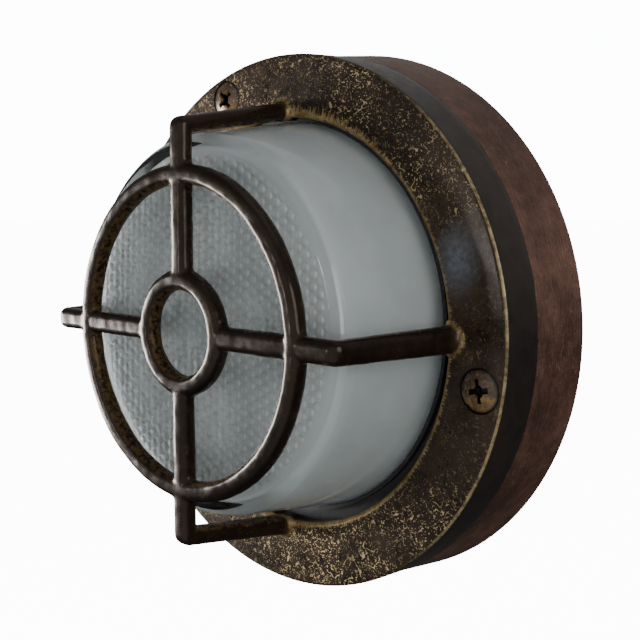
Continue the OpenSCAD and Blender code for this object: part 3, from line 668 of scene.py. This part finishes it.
def fused_guard(context, sizes):
    """The guard cage fused into one casting with soft junctions and slightly uneven surfaces."""
    bm = bmesh.new()
    Guard(bm, sizes).build()
    bmesh.ops.remove_doubles(bm, verts=bm.verts, dist=1e-7)
    bmesh.ops.recalc_face_normals(bm, faces=bm.faces)
    # The cells are built in millimetres, because tiny cells take very long
    mm = 1000
    bmesh.ops.scale(bm, vec=(mm, mm, mm), verts=bm.verts)
    rough = mesh_of(bm, "guard_rough")
    holder = add_object(context, "guard_rough", rough)
    fuse = holder.modifiers.new("fuse", "REMESH")
    fuse.mode = "VOXEL"
    fuse.voxel_size = sizes.fineness * mm
    soften = holder.modifiers.new("soften", "SMOOTH")
    soften.factor = 0.5
    soften.iterations = 8
    made = bpy.data.meshes.new_from_object(holder.evaluated_get(context.evaluated_depsgraph_get()))
    bpy.data.objects.remove(holder)
    bpy.data.meshes.remove(rough)
    # The directions are taken first, because each move would make Blender work them all out again
    directions = [v.normal.copy() for v in made.vertices]
    broad, fine, fine_share = 0.11, 0.32, 0.5
    for v, direction in zip(made.vertices, directions):
        wave = noise.noise(v.co * broad) + fine_share * noise.noise(v.co * fine)
        v.co = (v.co + direction * wave * sizes.unevenness * mm) / mm
    return made


def screw_places(sizes):
    """Where the three screws are, across and up from the axis."""
    turns = [sizes.screw_turn + a for a in around(3)]
    return [(sizes.screw_circle * math.cos(a), sizes.screw_circle * math.sin(a)) for a in turns]


def build_casting(context, sizes):
    """The front ring with its countersunk holes and inner pillars, and the guard cage on it."""
    face, plate = sizes.face_depth, sizes.face_depth - sizes.face_thickness
    face_radius = sizes.seam_radius - sizes.rim_draft
    wall = sizes.seam_radius - sizes.rim_thickness
    opening, bevel, edge = sizes.opening_radius, sizes.opening_bevel, sizes.edge_round
    seam, soft, land = sizes.seam_depth, 0.0003, 0.00012
    count = 360
    inside = [(opening, plate), (opening, face - bevel - soft), (opening + soft * 0.3, face - bevel),
              (opening + bevel, face - soft * 0.3), (opening + bevel + soft, face),
              (opening + bevel + soft + land, face)]
    outside = [(face_radius - edge - land, face)]
    outside += arc((face_radius - edge, face - edge), edge, math.pi / 2, 0, 10)
    for way in between(0, 1, 6):
        outside.append((face_radius + sizes.rim_draft * way, face - edge + (seam + soft - face + edge) * way))
    outside += arc((sizes.seam_radius - soft, seam + soft), soft, 0, -math.pi / 2, 4)
    outside += [(wall, seam), (wall, plate)]
    bm = bmesh.new()
    inner_rings, _ = revolve(bm, inside, count)
    outer_rings, _ = revolve(bm, outside, count)
    pillar_end = seam + 0.0001
    cone = sizes.sink_radius - sizes.hole_radius
    hole = [(sizes.sink_radius + land / 2, face), (sizes.sink_radius, face - land / 2),
            (sizes.sink_radius, face - sizes.sink_land),
            (sizes.hole_radius, face - sizes.sink_land - cone * 0.92),
            (sizes.hole_radius, pillar_end), (sizes.pillar_radius, pillar_end), (sizes.pillar_radius, plate)]
    mouths, roots = [], []
    for centre in screw_places(sizes):
        rings, _ = revolve(bm, hole, count=72, centre=centre)
        mouths.append(rings[0])
        roots.append(rings[-1])
    holed_face(bm, inner_rings[-1], outer_rings[0], mouths)
    holed_face(bm, inner_rings[0], outer_rings[-1], roots)
    bmesh.ops.recalc_face_normals(bm, faces=bm.faces)
    require_closed(bm, "the front ring")
    guard = fused_guard(context, sizes)
    bm.from_mesh(guard)
    bpy.data.meshes.remove(guard)
    for f in bm.faces:
        f.smooth = True
        f.material_index = 0
    mesh = mesh_of(bm, "cast_guard")
    mesh.set_sharp_from_angle(angle=math.radians(42))
    return mesh


def dimple_field(sizes, rim_points):
    """The dimpled inner face: points across and up from the axis, triangles, and how far each stands in."""
    parts = 9
    step = sizes.dimple_pitch / parts
    reach = sizes.dimple_radius
    turn = sizes.dimple_turn
    along = Vector((math.cos(turn), math.sin(turn)))
    aslant = Vector((math.cos(turn + math.pi / 3), math.sin(turn + math.pi / 3)))
    points, heights = [], []
    limit = reach - step * 0.7
    span = int(reach / step * 1.2) + 2
    ball = sizes.dimple_pitch * 0.46
    bowl = (ball ** 2 + sizes.dimple_height ** 2) / (2 * sizes.dimple_height)
    for i, j in product(range(-span, span + 1), repeat=2):
        p = along * (i * step) + aslant * (j * step)
        away = p.length
        if away <= limit:
            # The nearest of the dimple centres, which lie a whole number of pitches away both ways
            u, v = i / parts, j / parts
            near = min(((u - a) ** 2 + (v - b) ** 2 + (u - a) * (v - b))
                       for a in (math.floor(u), math.ceil(u)) for b in (math.floor(v), math.ceil(v)))
            off = math.sqrt(near) * sizes.dimple_pitch
            height = math.sqrt(bowl ** 2 - off ** 2) - bowl + sizes.dimple_height if off < ball else 0.0
            fade = min(1.0, max(0.0, (reach - away) / (sizes.dimple_pitch * 0.5)))
            points.append(p)
            heights.append(height * fade)
    first_rim = len(points)
    points += [Vector(p) for p in rim_points]
    heights += [0.0] * len(rim_points)
    edges = loop_pairs(len(rim_points), first_rim)
    verts, _, faces, origins, _, _ = geometry.delaunay_2d_cdt(points, edges, [], 1, 1e-7)
    depths = [max((heights[k] for k in source), default=0.0) for source in origins]
    return verts, faces, depths, origins, first_rim


def build_glass(sizes, face_depth):
    """The pressed glass: flange, sloping side, rounded shoulder, plain front and dimpled inner face."""
    slope = math.tan(sizes.taper)

    def side(depth):
        return sizes.face_radius - (depth - face_depth) * slope

    back = sizes.flange_back
    top = back + sizes.flange_thickness
    neck = side(top)
    edge = neck + sizes.flange_width
    chamfer = 0.0005
    front = sizes.front_depth
    shoulder = sizes.shoulder
    turn_depth = front - shoulder
    turn_radius = side(turn_depth) - shoulder / math.cos(sizes.taper)
    outside = [(side(back) - sizes.side_thickness, back), (edge - chamfer, back), (edge, back + chamfer),
               (edge, top - chamfer), (edge - chamfer, top), (neck, top)]
    outside += [(side(depth), depth) for depth in between(top, turn_depth, 12)]
    outside += arc((turn_radius, turn_depth), shoulder, sizes.taper, math.pi / 2, 14)
    inner_depth = front - sizes.front_thickness
    inner_round = sizes.shoulder / 2
    inner_turn = inner_depth - inner_round
    inner_side = side(inner_turn) - sizes.side_thickness
    inside = [(side(back) - sizes.side_thickness, back)]
    inside += [(side(depth) - sizes.side_thickness, depth) for depth in between(back, inner_turn, 12)]
    inside += arc((inner_side - inner_round, inner_turn), inner_round, 0, math.pi / 2, 8)

    count = 288
    bm = bmesh.new()
    outer_rings, outer_faces = revolve(bm, outside, count, (0, sizes.lift))
    outer_faces += close_disc(bm, outer_rings[-1], front, sizes.lift, 6)
    inside = inside[1:] + [(sizes.dimple_radius, inner_depth)]
    inner_rings, inner_faces = revolve(bm, inside, count, (0, sizes.lift))
    inner_faces += join_rings(bm, outer_rings[0], inner_rings[0])
    rim = inner_rings[-1]
    flat = [(v.co.x, v.co.z - sizes.lift) for v in rim]
    verts, triangles, depths, origins, first_rim = dimple_field(sizes, flat)
    placed = []
    for p, depth, source in zip(verts, depths, origins):
        rims = [k - first_rim for k in source if k >= first_rim]
        if rims:
            placed.append(rim[rims[0]])
        else:
            placed.append(bm.verts.new((p.x, -(inner_depth + depth), sizes.lift + p.y)))
    for corners in triangles:
        inner_faces.append(bm.faces.new([placed[k] for k in corners]))
    for f in outer_faces:
        f.material_index = 0
    for f in inner_faces:
        f.material_index = 1
    for f in bm.faces:
        f.smooth = True
    bmesh.ops.recalc_face_normals(bm, faces=bm.faces)
    require_closed(bm, "the glass")
    mesh = mesh_of(bm, "dimpled_glass")
    mesh.set_sharp_from_angle(angle=math.radians(38))
    return mesh


def clear_glass(look):
    """Clear pressed glass with a faint waviness and smears."""
    made, t, shader = new_material("clear_pressed_glass")
    smear = t.ramp(t.noise(90, 4, 0.6), 0.35, 0.75, 0.05, 0.1)
    waves = t.plus(t.noise(45, 2, 0.4), t.times(t.noise(700, 3, 0.6), 0.04))
    t.finish(shader, look.tint, smear, waves, 0.00012)
    shader.inputs["Transmission Weight"].default_value = 1.0
    shader.inputs["IOR"].default_value = 1.5
    return made


def frosted_glass(look, front_depth):
    """The frosted inner surface, whose front is more even than its sides, with painted highlights and shade
    on the dimples.
    """
    made, t, shader = new_material("frosted_inner_glass")
    cloud = t.ramp(t.noise(60, 4, 0.6), 0.3, 0.7)
    # The front's frosting begins this far behind the front of the glass
    begins, full = 0.0093, 0.0063
    front = t.ramp(t.split(t.place())["Y"], begins - front_depth, full - front_depth)
    frost = t.mix(front, t.mix(cloud, shade(look.frost, 0.9), look.frost), look.frost)
    # Painted highlight and shade: on the front, the slopes of the dimples that face one way across keep the
    # full frost colour, and all else is darkened
    smooth = t.times(front, t.ramp(t.facing()["X"], 0.62, 0.4))
    color = t.mix(smooth, frost, shade(look.frost, look.painted_cell_shade))
    rough = t.ramp(t.noise(500, 3, 0.6), 0.3, 0.7, 0.36, 0.5)
    t.finish(shader, color, rough, t.noise(2600, 3, 0.6), 0.00002)
    shader.inputs["Transmission Weight"].default_value = look.frost_see_through
    shader.inputs["IOR"].default_value = 1.5
    return made


def turned_grooves(t):
    """Fine grooves that run round the casting, as a lathe leaves them."""
    place = t.split(t.place())
    x, y, z = place["X"], place["Y"], place["Z"]
    along = t.times(t.direction(x, z), 14.0)
    across = t.times(t.plus(y, t.distance(x, z)), 2600.0)
    return t.ramp(t.noise(1, 3, 0.6, t.joined(along, across)), 0.35, 0.7)


def wax(t, shader, look, clean):
    """A thin coat of old wax, which the dirt dulls and handling has rubbed unevenly."""
    rubbed = t.ramp(t.noise(190, 4, 0.65), 0.34, 0.66, 0.1, 0.26)
    shader.inputs["Specular Tint"].default_value = (*look.highlight, 1)
    shader.inputs["Specular IOR Level"].default_value = 0.3
    t.feed(shader.inputs["Coat Weight"], t.times(rubbed, clean))
    shader.inputs["Coat Roughness"].default_value = 0.16


class RingBronze:
    """The bronze of the front ring and its guard, with the marks that use and weather have left, and a
    painted highlight, sheen and shade
    """

    def __init__(self, look, sizes):
        self.look = look
        self.sizes = sizes
        self.material, self.t, self.shader = new_material("ring_bronze")
        place = self.t.split(self.t.place())
        self.x, self.y, self.z = place["X"], place["Y"], place["Z"]
        self.radius = self.t.distance(self.x, self.z)
        self.face = -sizes.face_depth
        self.mouth = sizes.opening_radius + sizes.opening_bevel
        self.rim = sizes.seam_radius - sizes.rim_draft

    def build(self):
        t, look = self.t, self.look
        given = place_group(t, "weathered_bronze", Brown=look.brown, Dark=look.dark, Bare=look.gold,
                            Ochre=look.ochre, Flecks=self.flecks(), Dirt=0.9, Roughness=look.roughness)
        near_face = self.near_face(0.0022, 0.0012, 0.0008, 0.0016)
        smudge = t.ramp(t.noise(620, 4, 0.7), 0.4, 0.6)
        worn = t.times(t.most(self.worn_mouth(), self.worn_feet()), near_face)
        bar_dirt = t.times(self.bar_dirt(), smudge)
        # The guard is made darker and smoother than the ring
        cage = self.behind_face(-0.0015, -0.005)
        layers = ((self.plain_side(), look.side),
                  (t.times(cage, 0.6), look.dark),
                  (t.times(bar_dirt, 0.38), look.ochre),
                  (t.times(worn, 0.9), t.mix(smudge, look.ochre, shade(look.gold, 0.42))),
                  # A painted highlight along the ring's outer edge
                  (t.times(self.painted_rim_highlight(), near_face), shade(look.gold, 0.5)),
                  # Painted shade in the gaps round the screw heads
                  (t.times(self.painted_gap_shade(), near_face), shade(look.dark, 0.2)),
                  # A painted sheen on the ring's face, standing in for a reflection
                  (t.times(self.painted_sheen_patch(), near_face), look.painted_sheen_tint))
        color = given["Color"]
        for amount, over in layers:
            color = t.mix(amount, color, over)
        rough = t.minus(t.plus(given["Roughness"], t.times(bar_dirt, 0.3)), t.times(cage, 0.09))
        metallic = t.plus(t.times(given["Bare"], 0.15), 0.2)
        t.finish(self.shader, color, rough, given["Height"], 0.00004, metallic)
        clean = t.minus(1.0, t.most(bar_dirt, worn))
        wax(t, self.shader, look, t.times(clean, t.minus(1.0, t.times(cage, 0.35))))
        return self.material

    def behind_face(self, begins, full):
        """A mask along the depth, whose two limits are distances behind the ring's face"""
        return self.t.ramp(self.y, self.face + begins, self.face + full)

    def near_face(self, out, full_out, full_in, inwards):
        """A band about the ring's face: where it begins and is full in front of the face, and behind it"""
        return self.t.times(self.behind_face(-out, -full_out), self.behind_face(inwards, full_in))

    def flecks(self):
        """Flecks lie on the ring's face, mostly along the top and the bottom"""
        t = self.t
        top = t.ramp(self.z, 0.018, 0.045, 0.0, 0.6)
        bottom = t.ramp(self.z, -0.03, -0.056, 0.0, 0.85)
        amount = t.times(t.plus(t.most(top, bottom), 0.12), self.look.flecks)
        return t.times(self.near_face(0.0014, 0.0006, 0.0004, 0.0012), amount)

    def worn_mouth(self):
        """Metal worn bare along the opening's edge, in short strokes away from it, longer at the top"""
        t = self.t
        along = t.times(t.direction(self.x, self.z), 130.0)
        strokes = t.noise(1, 2, 0.6, t.joined(along, t.times(self.radius, 250.0)))
        top = t.times(t.ramp(self.z, 0.03, 0.055), t.ramp(self.x, 0.045, 0.02))
        short, more_at_top = 0.0017, 0.0032
        reach = t.plus(t.times(top, more_at_top), short)
        away = t.over(t.minus(self.radius, self.mouth), reach)
        return t.ramp(t.minus(strokes, t.times(away, 0.45)), 0.3, 0.46)

    def worn_feet(self):
        """The same round the feet of the arms"""
        t = self.t
        across = t.least(t.unsigned(self.x), t.unsigned(self.z))
        along = t.minus(t.most(t.unsigned(self.x), t.unsigned(self.z)), self.mouth)
        off = t.distance(across, along)
        way = t.times(t.direction(across, along), 7.0)
        strokes = t.noise(1, 2, 0.6, t.joined(way, t.times(off, 300.0)))
        reach, blend = 0.0042, 0.0006
        beyond = t.times(t.minus(off, reach), 340.0)
        return t.times(t.ramp(t.minus(strokes, beyond), 0.3, 0.46),
                       t.ramp(off, reach - blend, reach, 0.0, 0.6))

    def bar_dirt(self):
        """Ochre dirt on the back of the bars, and on the sides that face the glass"""
        t = self.t
        guard = -self.sizes.guard_front
        facing = t.facing()
        behind = t.times(t.ramp(facing["Y"], 0.1, 0.6), t.ramp(self.y, guard + 0.0119, guard + 0.0079))
        outward = t.plus(t.times(facing["X"], self.x), t.times(facing["Z"], self.z))
        inner = t.times(t.ramp(t.over(outward, self.radius), -0.35, -0.85), self.behind_face(-0.002, -0.006))
        return t.most(behind, t.times(inner, 0.8))

    def plain_side(self):
        """The side of the ring, which has a plain dark finish with turned grooves"""
        t = self.t
        begins, full = 0.00067, 0.00017
        side = t.times(t.ramp(self.radius, self.rim - begins, self.rim - full),
                       self.behind_face(-0.0002, 0.0008))
        return t.times(side, t.ramp(turned_grooves(t), 0.0, 1.0, 0.35, 0.75))

    def painted_rim_highlight(self):
        """A thin brighter line along the ring's outer edge, mostly at the right: a painted highlight"""
        t = self.t
        edge = self.rim + self.sizes.face_depth - self.sizes.edge_round * (2 - math.sqrt(2))
        begins, full = 0.00016, 0.00003
        line = t.ramp(t.minus(self.radius, self.y), edge - begins, edge - full)
        right = t.ramp(self.x, 0.04, 0.066, 0.1, 0.8)
        return t.times(line, right, t.ramp(t.noise(300, 4, 0.7), 0.34, 0.6, 0.2, 1.0))

    def painted_gap_shade(self):
        """Painted shade: a dark line round the heads of the three screws, in the gaps between head and
        countersink
        """
        t = self.t
        nearest = 1.0
        for x, z in screw_places(self.sizes):
            nearest = t.least(nearest, t.distance(t.minus(self.x, x), t.minus(self.z, z)))
        return t.ramp(nearest, self.sizes.sink_radius + 0.0004, self.sizes.sink_radius + 0.0001)

    def painted_sheen_patch(self):
        """A bluish painted sheen at the right of the ring's face, standing in for a reflection"""
        t = self.t
        middle, reach = (0.0625, 0.0205), (0.0085, 0.0125)
        spot = t.distance(t.over(t.minus(self.x, middle[0]), reach[0]),
                          t.over(t.minus(self.z, middle[1]), reach[1]))
        return t.times(t.ramp(spot, 1.0, 0.1), t.ramp(t.noise(800, 3, 0.6), 0.3, 0.7, 0.45, 1.0))


def housing_bronze(look):
    """The redder bronze of the back housing, with turned grooves."""
    made, t, shader = new_material("housing_bronze")
    given = place_group(t, "weathered_bronze", Brown=look.housing_brown, Dark=shade(look.housing_brown, 0.4),
                        Bare=look.gold, Ochre=look.ochre, Flecks=0.15, Dirt=0.8,
                        Roughness=look.roughness + 0.04)
    turned = turned_grooves(t)
    t.finish(shader, t.mix(t.times(turned, 0.45), given["Color"], look.dark), given["Roughness"],
             t.plus(given["Height"], turned), 0.00006, t.plus(t.times(given["Bare"], 0.15), 0.3))
    wax(t, shader, look, 0.35)
    return made


def screw_brass(look, face_depth):
    """Tarnished brass, with ochre dirt that has run down to the lower half of each head, and painted shade
    below the ring's face.
    """
    made, t, shader = new_material("tarnished_brass")
    given = place_group(t, "weathered_bronze", Brown=shade(look.brown, 2.8), Dark=look.brown, Bare=look.gold,
                        Ochre=look.ochre, Flecks=0.5, Dirt=1.2, Roughness=look.roughness - 0.04)
    dirt = t.times(t.ramp(t.facing()["Z"], -0.02, -0.14), t.ramp(t.noise(620, 4, 0.7), 0.35, 0.6))
    # Painted shade: the parts of each screw that lie behind the ring's face, such as the depth of its cross
    # recess, are made nearly black
    sunk = t.ramp(t.split(t.place())["Y"], -face_depth - 0.0002, -face_depth + 0.0003)
    color = t.mix(sunk, t.mix(dirt, given["Color"], look.ochre), shade(look.dark, 0.2))
    t.finish(shader, color, given["Roughness"], given["Height"], 0.00006,
             t.plus(t.times(given["Bare"], 0.3), 0.3))
    return made


class WALLLIGHT_OT_bronze_castings(bpy.types.Operator):
    """Makes the front ring with its guard, and finishes it and the back housing in weathered bronze"""
    bl_idname = "walllight.bronze_castings"
    bl_label = "Bronze castings"

    def execute(self, context):
        look = context.scene.wall_light_bronze
        sizes = context.scene.wall_light_casting
        mesh = build_casting(context, sizes)
        mesh.materials.append(RingBronze(look, sizes).build())
        piece = add_object(context, "cast_guard", mesh)
        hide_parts("guard_bezel")
        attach(piece, "root")
        finish_node("back_housing", housing_bronze(look))
        return {"FINISHED"}


class WALLLIGHT_OT_ring_screws(bpy.types.Operator):
    """Finishes the three screws of the front ring in tarnished brass"""
    bl_idname = "walllight.ring_screws"
    bl_label = "Ring screws"

    def execute(self, context):
        scene = context.scene
        finish_node("bezel_screws", screw_brass(scene.wall_light_bronze, scene.wall_light_casting.face_depth))
        return {"FINISHED"}


class WALLLIGHT_OT_pressed_glass(bpy.types.Operator):
    """Makes the pressed glass with its dimpled, frosted inner face"""
    bl_idname = "walllight.pressed_glass"
    bl_label = "Pressed glass"

    def execute(self, context):
        look = context.scene.wall_light_glass_look
        sizes = context.scene.wall_light_glass
        mesh = build_glass(sizes, context.scene.wall_light_casting.face_depth)
        mesh.materials.append(clear_glass(look))
        mesh.materials.append(frosted_glass(look, sizes.front_depth))
        piece = add_object(context, "dimpled_glass", mesh)
        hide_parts("glass")
        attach(piece, "root")
        return {"FINISHED"}


class WALLLIGHT_OT_rubber_parts(bpy.types.Operator):
    """Finishes the seal of the glass and the cable grommet in black rubber"""
    bl_idname = "walllight.rubber_parts"
    bl_label = "Rubber parts"

    def execute(self, context):
        look = context.scene.wall_light_inner
        rubber = grained_material("black_rubber", look.rubber, 0.62, 0.00005, (0.06, 0.05, 0.035),
                                  Scale=900.0, Variation=0.5, Grime_Amount=0.5)
        finish_node("glass_seal", rubber)
        finish_node("cable_grommet", rubber)
        return {"FINISHED"}


class WALLLIGHT_OT_gear_tray(bpy.types.Operator):
    """Finishes the gear tray in white baked enamel"""
    bl_idname = "walllight.gear_tray"
    bl_label = "Gear tray"

    def execute(self, context):
        look = context.scene.wall_light_inner
        enamel = grained_material("white_enamel", look.enamel, 0.3, 0.00004, coat=0.4, Scale=500.0,
                                  Variation=0.08, Grime_Amount=0.4)
        finish_node("gear_tray", enamel)
        return {"FINISHED"}


class WALLLIGHT_OT_porcelain_parts(bpy.types.Operator):
    """Finishes the lampholder and the terminal block in glazed porcelain"""
    bl_idname = "walllight.porcelain_parts"
    bl_label = "Porcelain parts"

    def execute(self, context):
        look = context.scene.wall_light_inner
        glaze = grained_material("glazed_porcelain", look.porcelain, 0.22, 0.00003, coat=0.6, Scale=260.0,
                                 Variation=0.1, Grime_Amount=0.5)
        finish_node("lampholder", glaze)
        finish_node("terminal_block", glaze)
        return {"FINISHED"}


class WALLLIGHT_OT_metal_fittings(bpy.types.Operator):
    """Finishes the plated steel and the brass fittings inside"""
    bl_idname = "walllight.metal_fittings"
    bl_label = "Metal fittings"

    def execute(self, context):
        look = context.scene.wall_light_inner
        zinc = grained_material("zinc_plating", look.zinc, 0.34, 0.00002, metallic=1.0, Scale=700.0,
                                Variation=0.25, Grime_Amount=0.5)
        brass = grained_material("fitting_brass", look.brass, 0.28, 0.00002, (0.12, 0.07, 0.03), 1.0,
                                 Scale=800.0, Variation=0.3, Grime_Amount=0.5)
        for node in ("tray_screws", "holder_bracket", "bracket_rivets", "lampholder_screws",
                     "terminal_screws", "block_screws", "earth_washer"):
            finish_node(node, zinc)
        for node in ("lamp_shell", "lamp_contact", "terminal_barrels", "earth_screw", "earth_lug"):
            finish_node(node, brass)
        return {"FINISHED"}


class WALLLIGHT_OT_bulb(bpy.types.Operator):
    """Finishes the bulb in opal glass with a brass cap"""
    bl_idname = "walllight.bulb"
    bl_label = "Bulb"

    def execute(self, context):
        look = context.scene.wall_light_inner
        made, t, shader = new_material("opal_bulb")
        cap_length, thread_pitch, blend = 0.026, 0.00282, 0.0002
        cap_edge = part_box("bulb")[0].z + cap_length
        height = t.split(t.place())["Z"]
        cap = t.ramp(height, cap_edge + blend, cap_edge - blend)
        given = place_group(t, "fine_grain", Color=look.opal, Grime=(0.4, 0.38, 0.33), Scale=500.0,
                            Variation=0.05, Grime_Amount=0.3, Roughness=0.34)
        ridges = t.times(t.math("SINE", t.times(height, 2 * math.pi / thread_pitch)), cap)
        t.finish(shader, t.mix(cap, given["Color"], look.brass), given["Roughness"],
                 t.plus(ridges, t.times(given["Height"], 0.1)), 0.0003, cap)
        finish_node("bulb", made)
        return {"FINISHED"}


class WALLLIGHT_OT_leads(bpy.types.Operator):
    """Finishes the three insulated leads in brown, blue, and green with a yellow stripe"""
    bl_idname = "walllight.leads"
    bl_label = "Leads"

    def execute(self, context):
        look = context.scene.wall_light_inner
        grain = {"Scale": 600.0, "Variation": 0.2, "Grime_Amount": 0.3}
        for node, color in (("live_lead", look.live), ("neutral_lead", look.neutral)):
            finish_node(node, grained_material(node + "_insulation", color, 0.42, 0.00002, **grain))
        made, t, shader = new_material("earth_lead_insulation")
        given = place_group(t, "fine_grain", Color=look.earth_green, Grime=(0.05, 0.05, 0.03), Roughness=0.42,
                            **grain)
        low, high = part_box("earth_lead")
        aside = t.unsigned(t.minus(t.split(t.place())["Y"], measured((low.y + high.y) / 2)))
        stripe = t.ramp(aside, 0.00055, 0.00045)
        t.finish(shader, t.mix(stripe, given["Color"], look.earth_yellow), given["Roughness"],
                 given["Height"], 0.00002)
        finish_node("earth_lead", made)
        return {"FINISHED"}


class WALLLIGHT_OT_studio(bpy.types.Operator):
    """Sets up the floor, the soft lights, the backdrop and the camera"""
    bl_idname = "walllight.studio"
    bl_label = "Studio"

    def execute(self, context):
        look = context.scene.wall_light_studio
        self.floor(context, look)
        self.backdrop(context, look)
        for name, place, size, power in (("key_light", (-1.15, -0.5, -0.15), 0.4, look.key_power),
                                         ("top_light", (0.35, -0.1, 1.35), 1.2, look.top_power),
                                         ("side_light", (1.3, -0.35, 0.3), 0.8, look.side_power),
                                         ("window_light", (-0.81, -1.25, -0.06), 0.12, look.window_power)):
            self.light(context, name, place, size, power)
        self.camera(context)
        return {"FINISHED"}

    def floor(self, context, look):
        bm = bmesh.new()
        bmesh.ops.create_grid(bm, x_segments=8, y_segments=8, size=30)
        bmesh.ops.translate(bm, vec=(0, 0, look.floor_height), verts=bm.verts)
        mesh = mesh_of(bm, "floor")
        made, t, shader = new_material("pale_floor")
        cloud = t.ramp(t.noise(1.5, 2, 0.5), 0.3, 0.7)
        t.feed(shader.inputs["Base Color"], t.mix(cloud, shade(look.floor, 0.99), look.floor))
        shader.inputs["Roughness"].default_value = 0.8
        shader.inputs["Emission Color"].default_value = (*look.floor, 1)
        shader.inputs["Emission Strength"].default_value = look.backdrop
        mesh.materials.append(made)
        piece = add_object(context, "floor", mesh)
        piece.visible_glossy = False
        piece.visible_diffuse = False
        piece.visible_transmission = False

    def backdrop(self, context, look):
        """A world that is white to the camera, and lights the object softly from the front and the left"""
        world = bpy.data.worlds.new("studio")
        context.scene.world = world
        world.use_nodes = True
        world.node_tree.nodes.clear()
        t = Tree(world.node_tree)
        direction = t.node("ShaderNodeTexCoord").outputs["Generated"]
        way = t.split(direction)
        above = t.plus(t.ramp(way["Y"], -0.1, 0.6, 0.0, look.behind), look.sky)
        level = t.plus(t.times(t.ramp(way["Z"], -0.3, 0.4), above), look.ground)
        for aim, edge, power in (((0.22, -0.96, -0.12), 0.4, look.front),
                                 ((-0.94, -0.31, -0.16), 0.93, look.left)):
            toward = t.node("ShaderNodeVectorMath", {"operation": "DOT_PRODUCT"})
            t.feed(toward.inputs[0], direction)
            t.feed(toward.inputs[1], Vector(aim).normalized())
            level = t.plus(level, t.ramp(toward.outputs["Value"], edge, 1.0, 0.0, power))
        seen = t.node("ShaderNodeLightPath").outputs["Is Camera Ray"]
        strength = t.plus(t.times(seen, look.backdrop), t.times(t.minus(1.0, seen), level))
        shader = t.node("ShaderNodeBackground", Color=(0.96, 0.98, 1.0), Strength=strength)
        end = t.node("ShaderNodeOutputWorld")
        world.node_tree.links.new(shader.outputs[0], end.inputs["Surface"])

    def light(self, context, name, place, size, power):
        lamp = bpy.data.lights.new(name, "AREA")
        lamp.shape = "SQUARE"
        lamp.size = size
        lamp.energy = power
        piece = add_object(context, name, lamp)
        piece.location = place
        middle = Vector((0, -0.03, 0))
        piece.rotation_euler = (middle - piece.location).to_track_quat("-Z", "Y").to_euler()

    def camera(self, context):
        """The photograph's viewpoint: 43 degrees to the right of the axis, and a little above it"""
        data = bpy.data.cameras.new("camera")
        data.sensor_width = 36.0
        data.lens = 56.91
        data.shift_y = -0.0849
        data.clip_start = 0.01
        data.clip_end = 100
        piece = add_object(context, "camera", data)
        piece.location = (0.2112, -0.2397, 0.03485)
        forward = Vector((-0.68508, 0.72574, -0.06298))
        facing = forward.to_track_quat("-Z", "Y").to_matrix().to_4x4()
        roll = math.radians(-0.183)
        piece.rotation_euler = (facing @ Matrix.Rotation(roll, 4, "Z")).to_euler()
        context.scene.camera = piece


class WALLLIGHT_PT_panel(bpy.types.Panel):
    """Lists the pieces of the wall light and their settings"""
    bl_idname = "WALLLIGHT_PT_panel"
    bl_label = "Wall Light"
    bl_space_type = "VIEW_3D"
    bl_region_type = "UI"
    bl_category = "Wall Light"

    def draw(self, context):
        layout = self.layout
        for step in STEPS:
            layout.operator(step.bl_idname)
        for name in GROUPS:
            settings = getattr(context.scene, name)
            box = layout.box()
            for field in settings.bl_rna.properties:
                if field.identifier not in {"rna_type", "name"}:
                    box.prop(settings, field.identifier)


GROUPS = {
    "wall_light_casting": CastingSizes,
    "wall_light_glass": GlassSizes,
    "wall_light_bronze": BronzeLook,
    "wall_light_glass_look": GlassLook,
    "wall_light_inner": InnerLook,
    "wall_light_studio": StudioLook,
}
STEPS = (
    WALLLIGHT_OT_studio,
    WALLLIGHT_OT_bronze_castings,
    WALLLIGHT_OT_ring_screws,
    WALLLIGHT_OT_pressed_glass,
    WALLLIGHT_OT_rubber_parts,
    WALLLIGHT_OT_gear_tray,
    WALLLIGHT_OT_porcelain_parts,
    WALLLIGHT_OT_metal_fittings,
    WALLLIGHT_OT_bulb,
    WALLLIGHT_OT_leads,
)


def register():
    for settings in GROUPS.values():
        bpy.utils.register_class(settings)
    for name, settings in GROUPS.items():
        setattr(bpy.types.Scene, name, bpy.props.PointerProperty(type=settings))
    for step in STEPS:
        bpy.utils.register_class(step)
    bpy.utils.register_class(WALLLIGHT_PT_panel)


def unregister():
    bpy.utils.unregister_class(WALLLIGHT_PT_panel)
    for step in reversed(STEPS):
        bpy.utils.unregister_class(step)
    for name in GROUPS:
        delattr(bpy.types.Scene, name)
    for settings in reversed(list(GROUPS.values())):
        bpy.utils.unregister_class(settings)


def main():
    register()
    for step in STEPS:
        group_name, action = step.bl_idname.split(".")
        getattr(getattr(bpy.ops, group_name), action)()


if __name__ == "__main__":
    main()
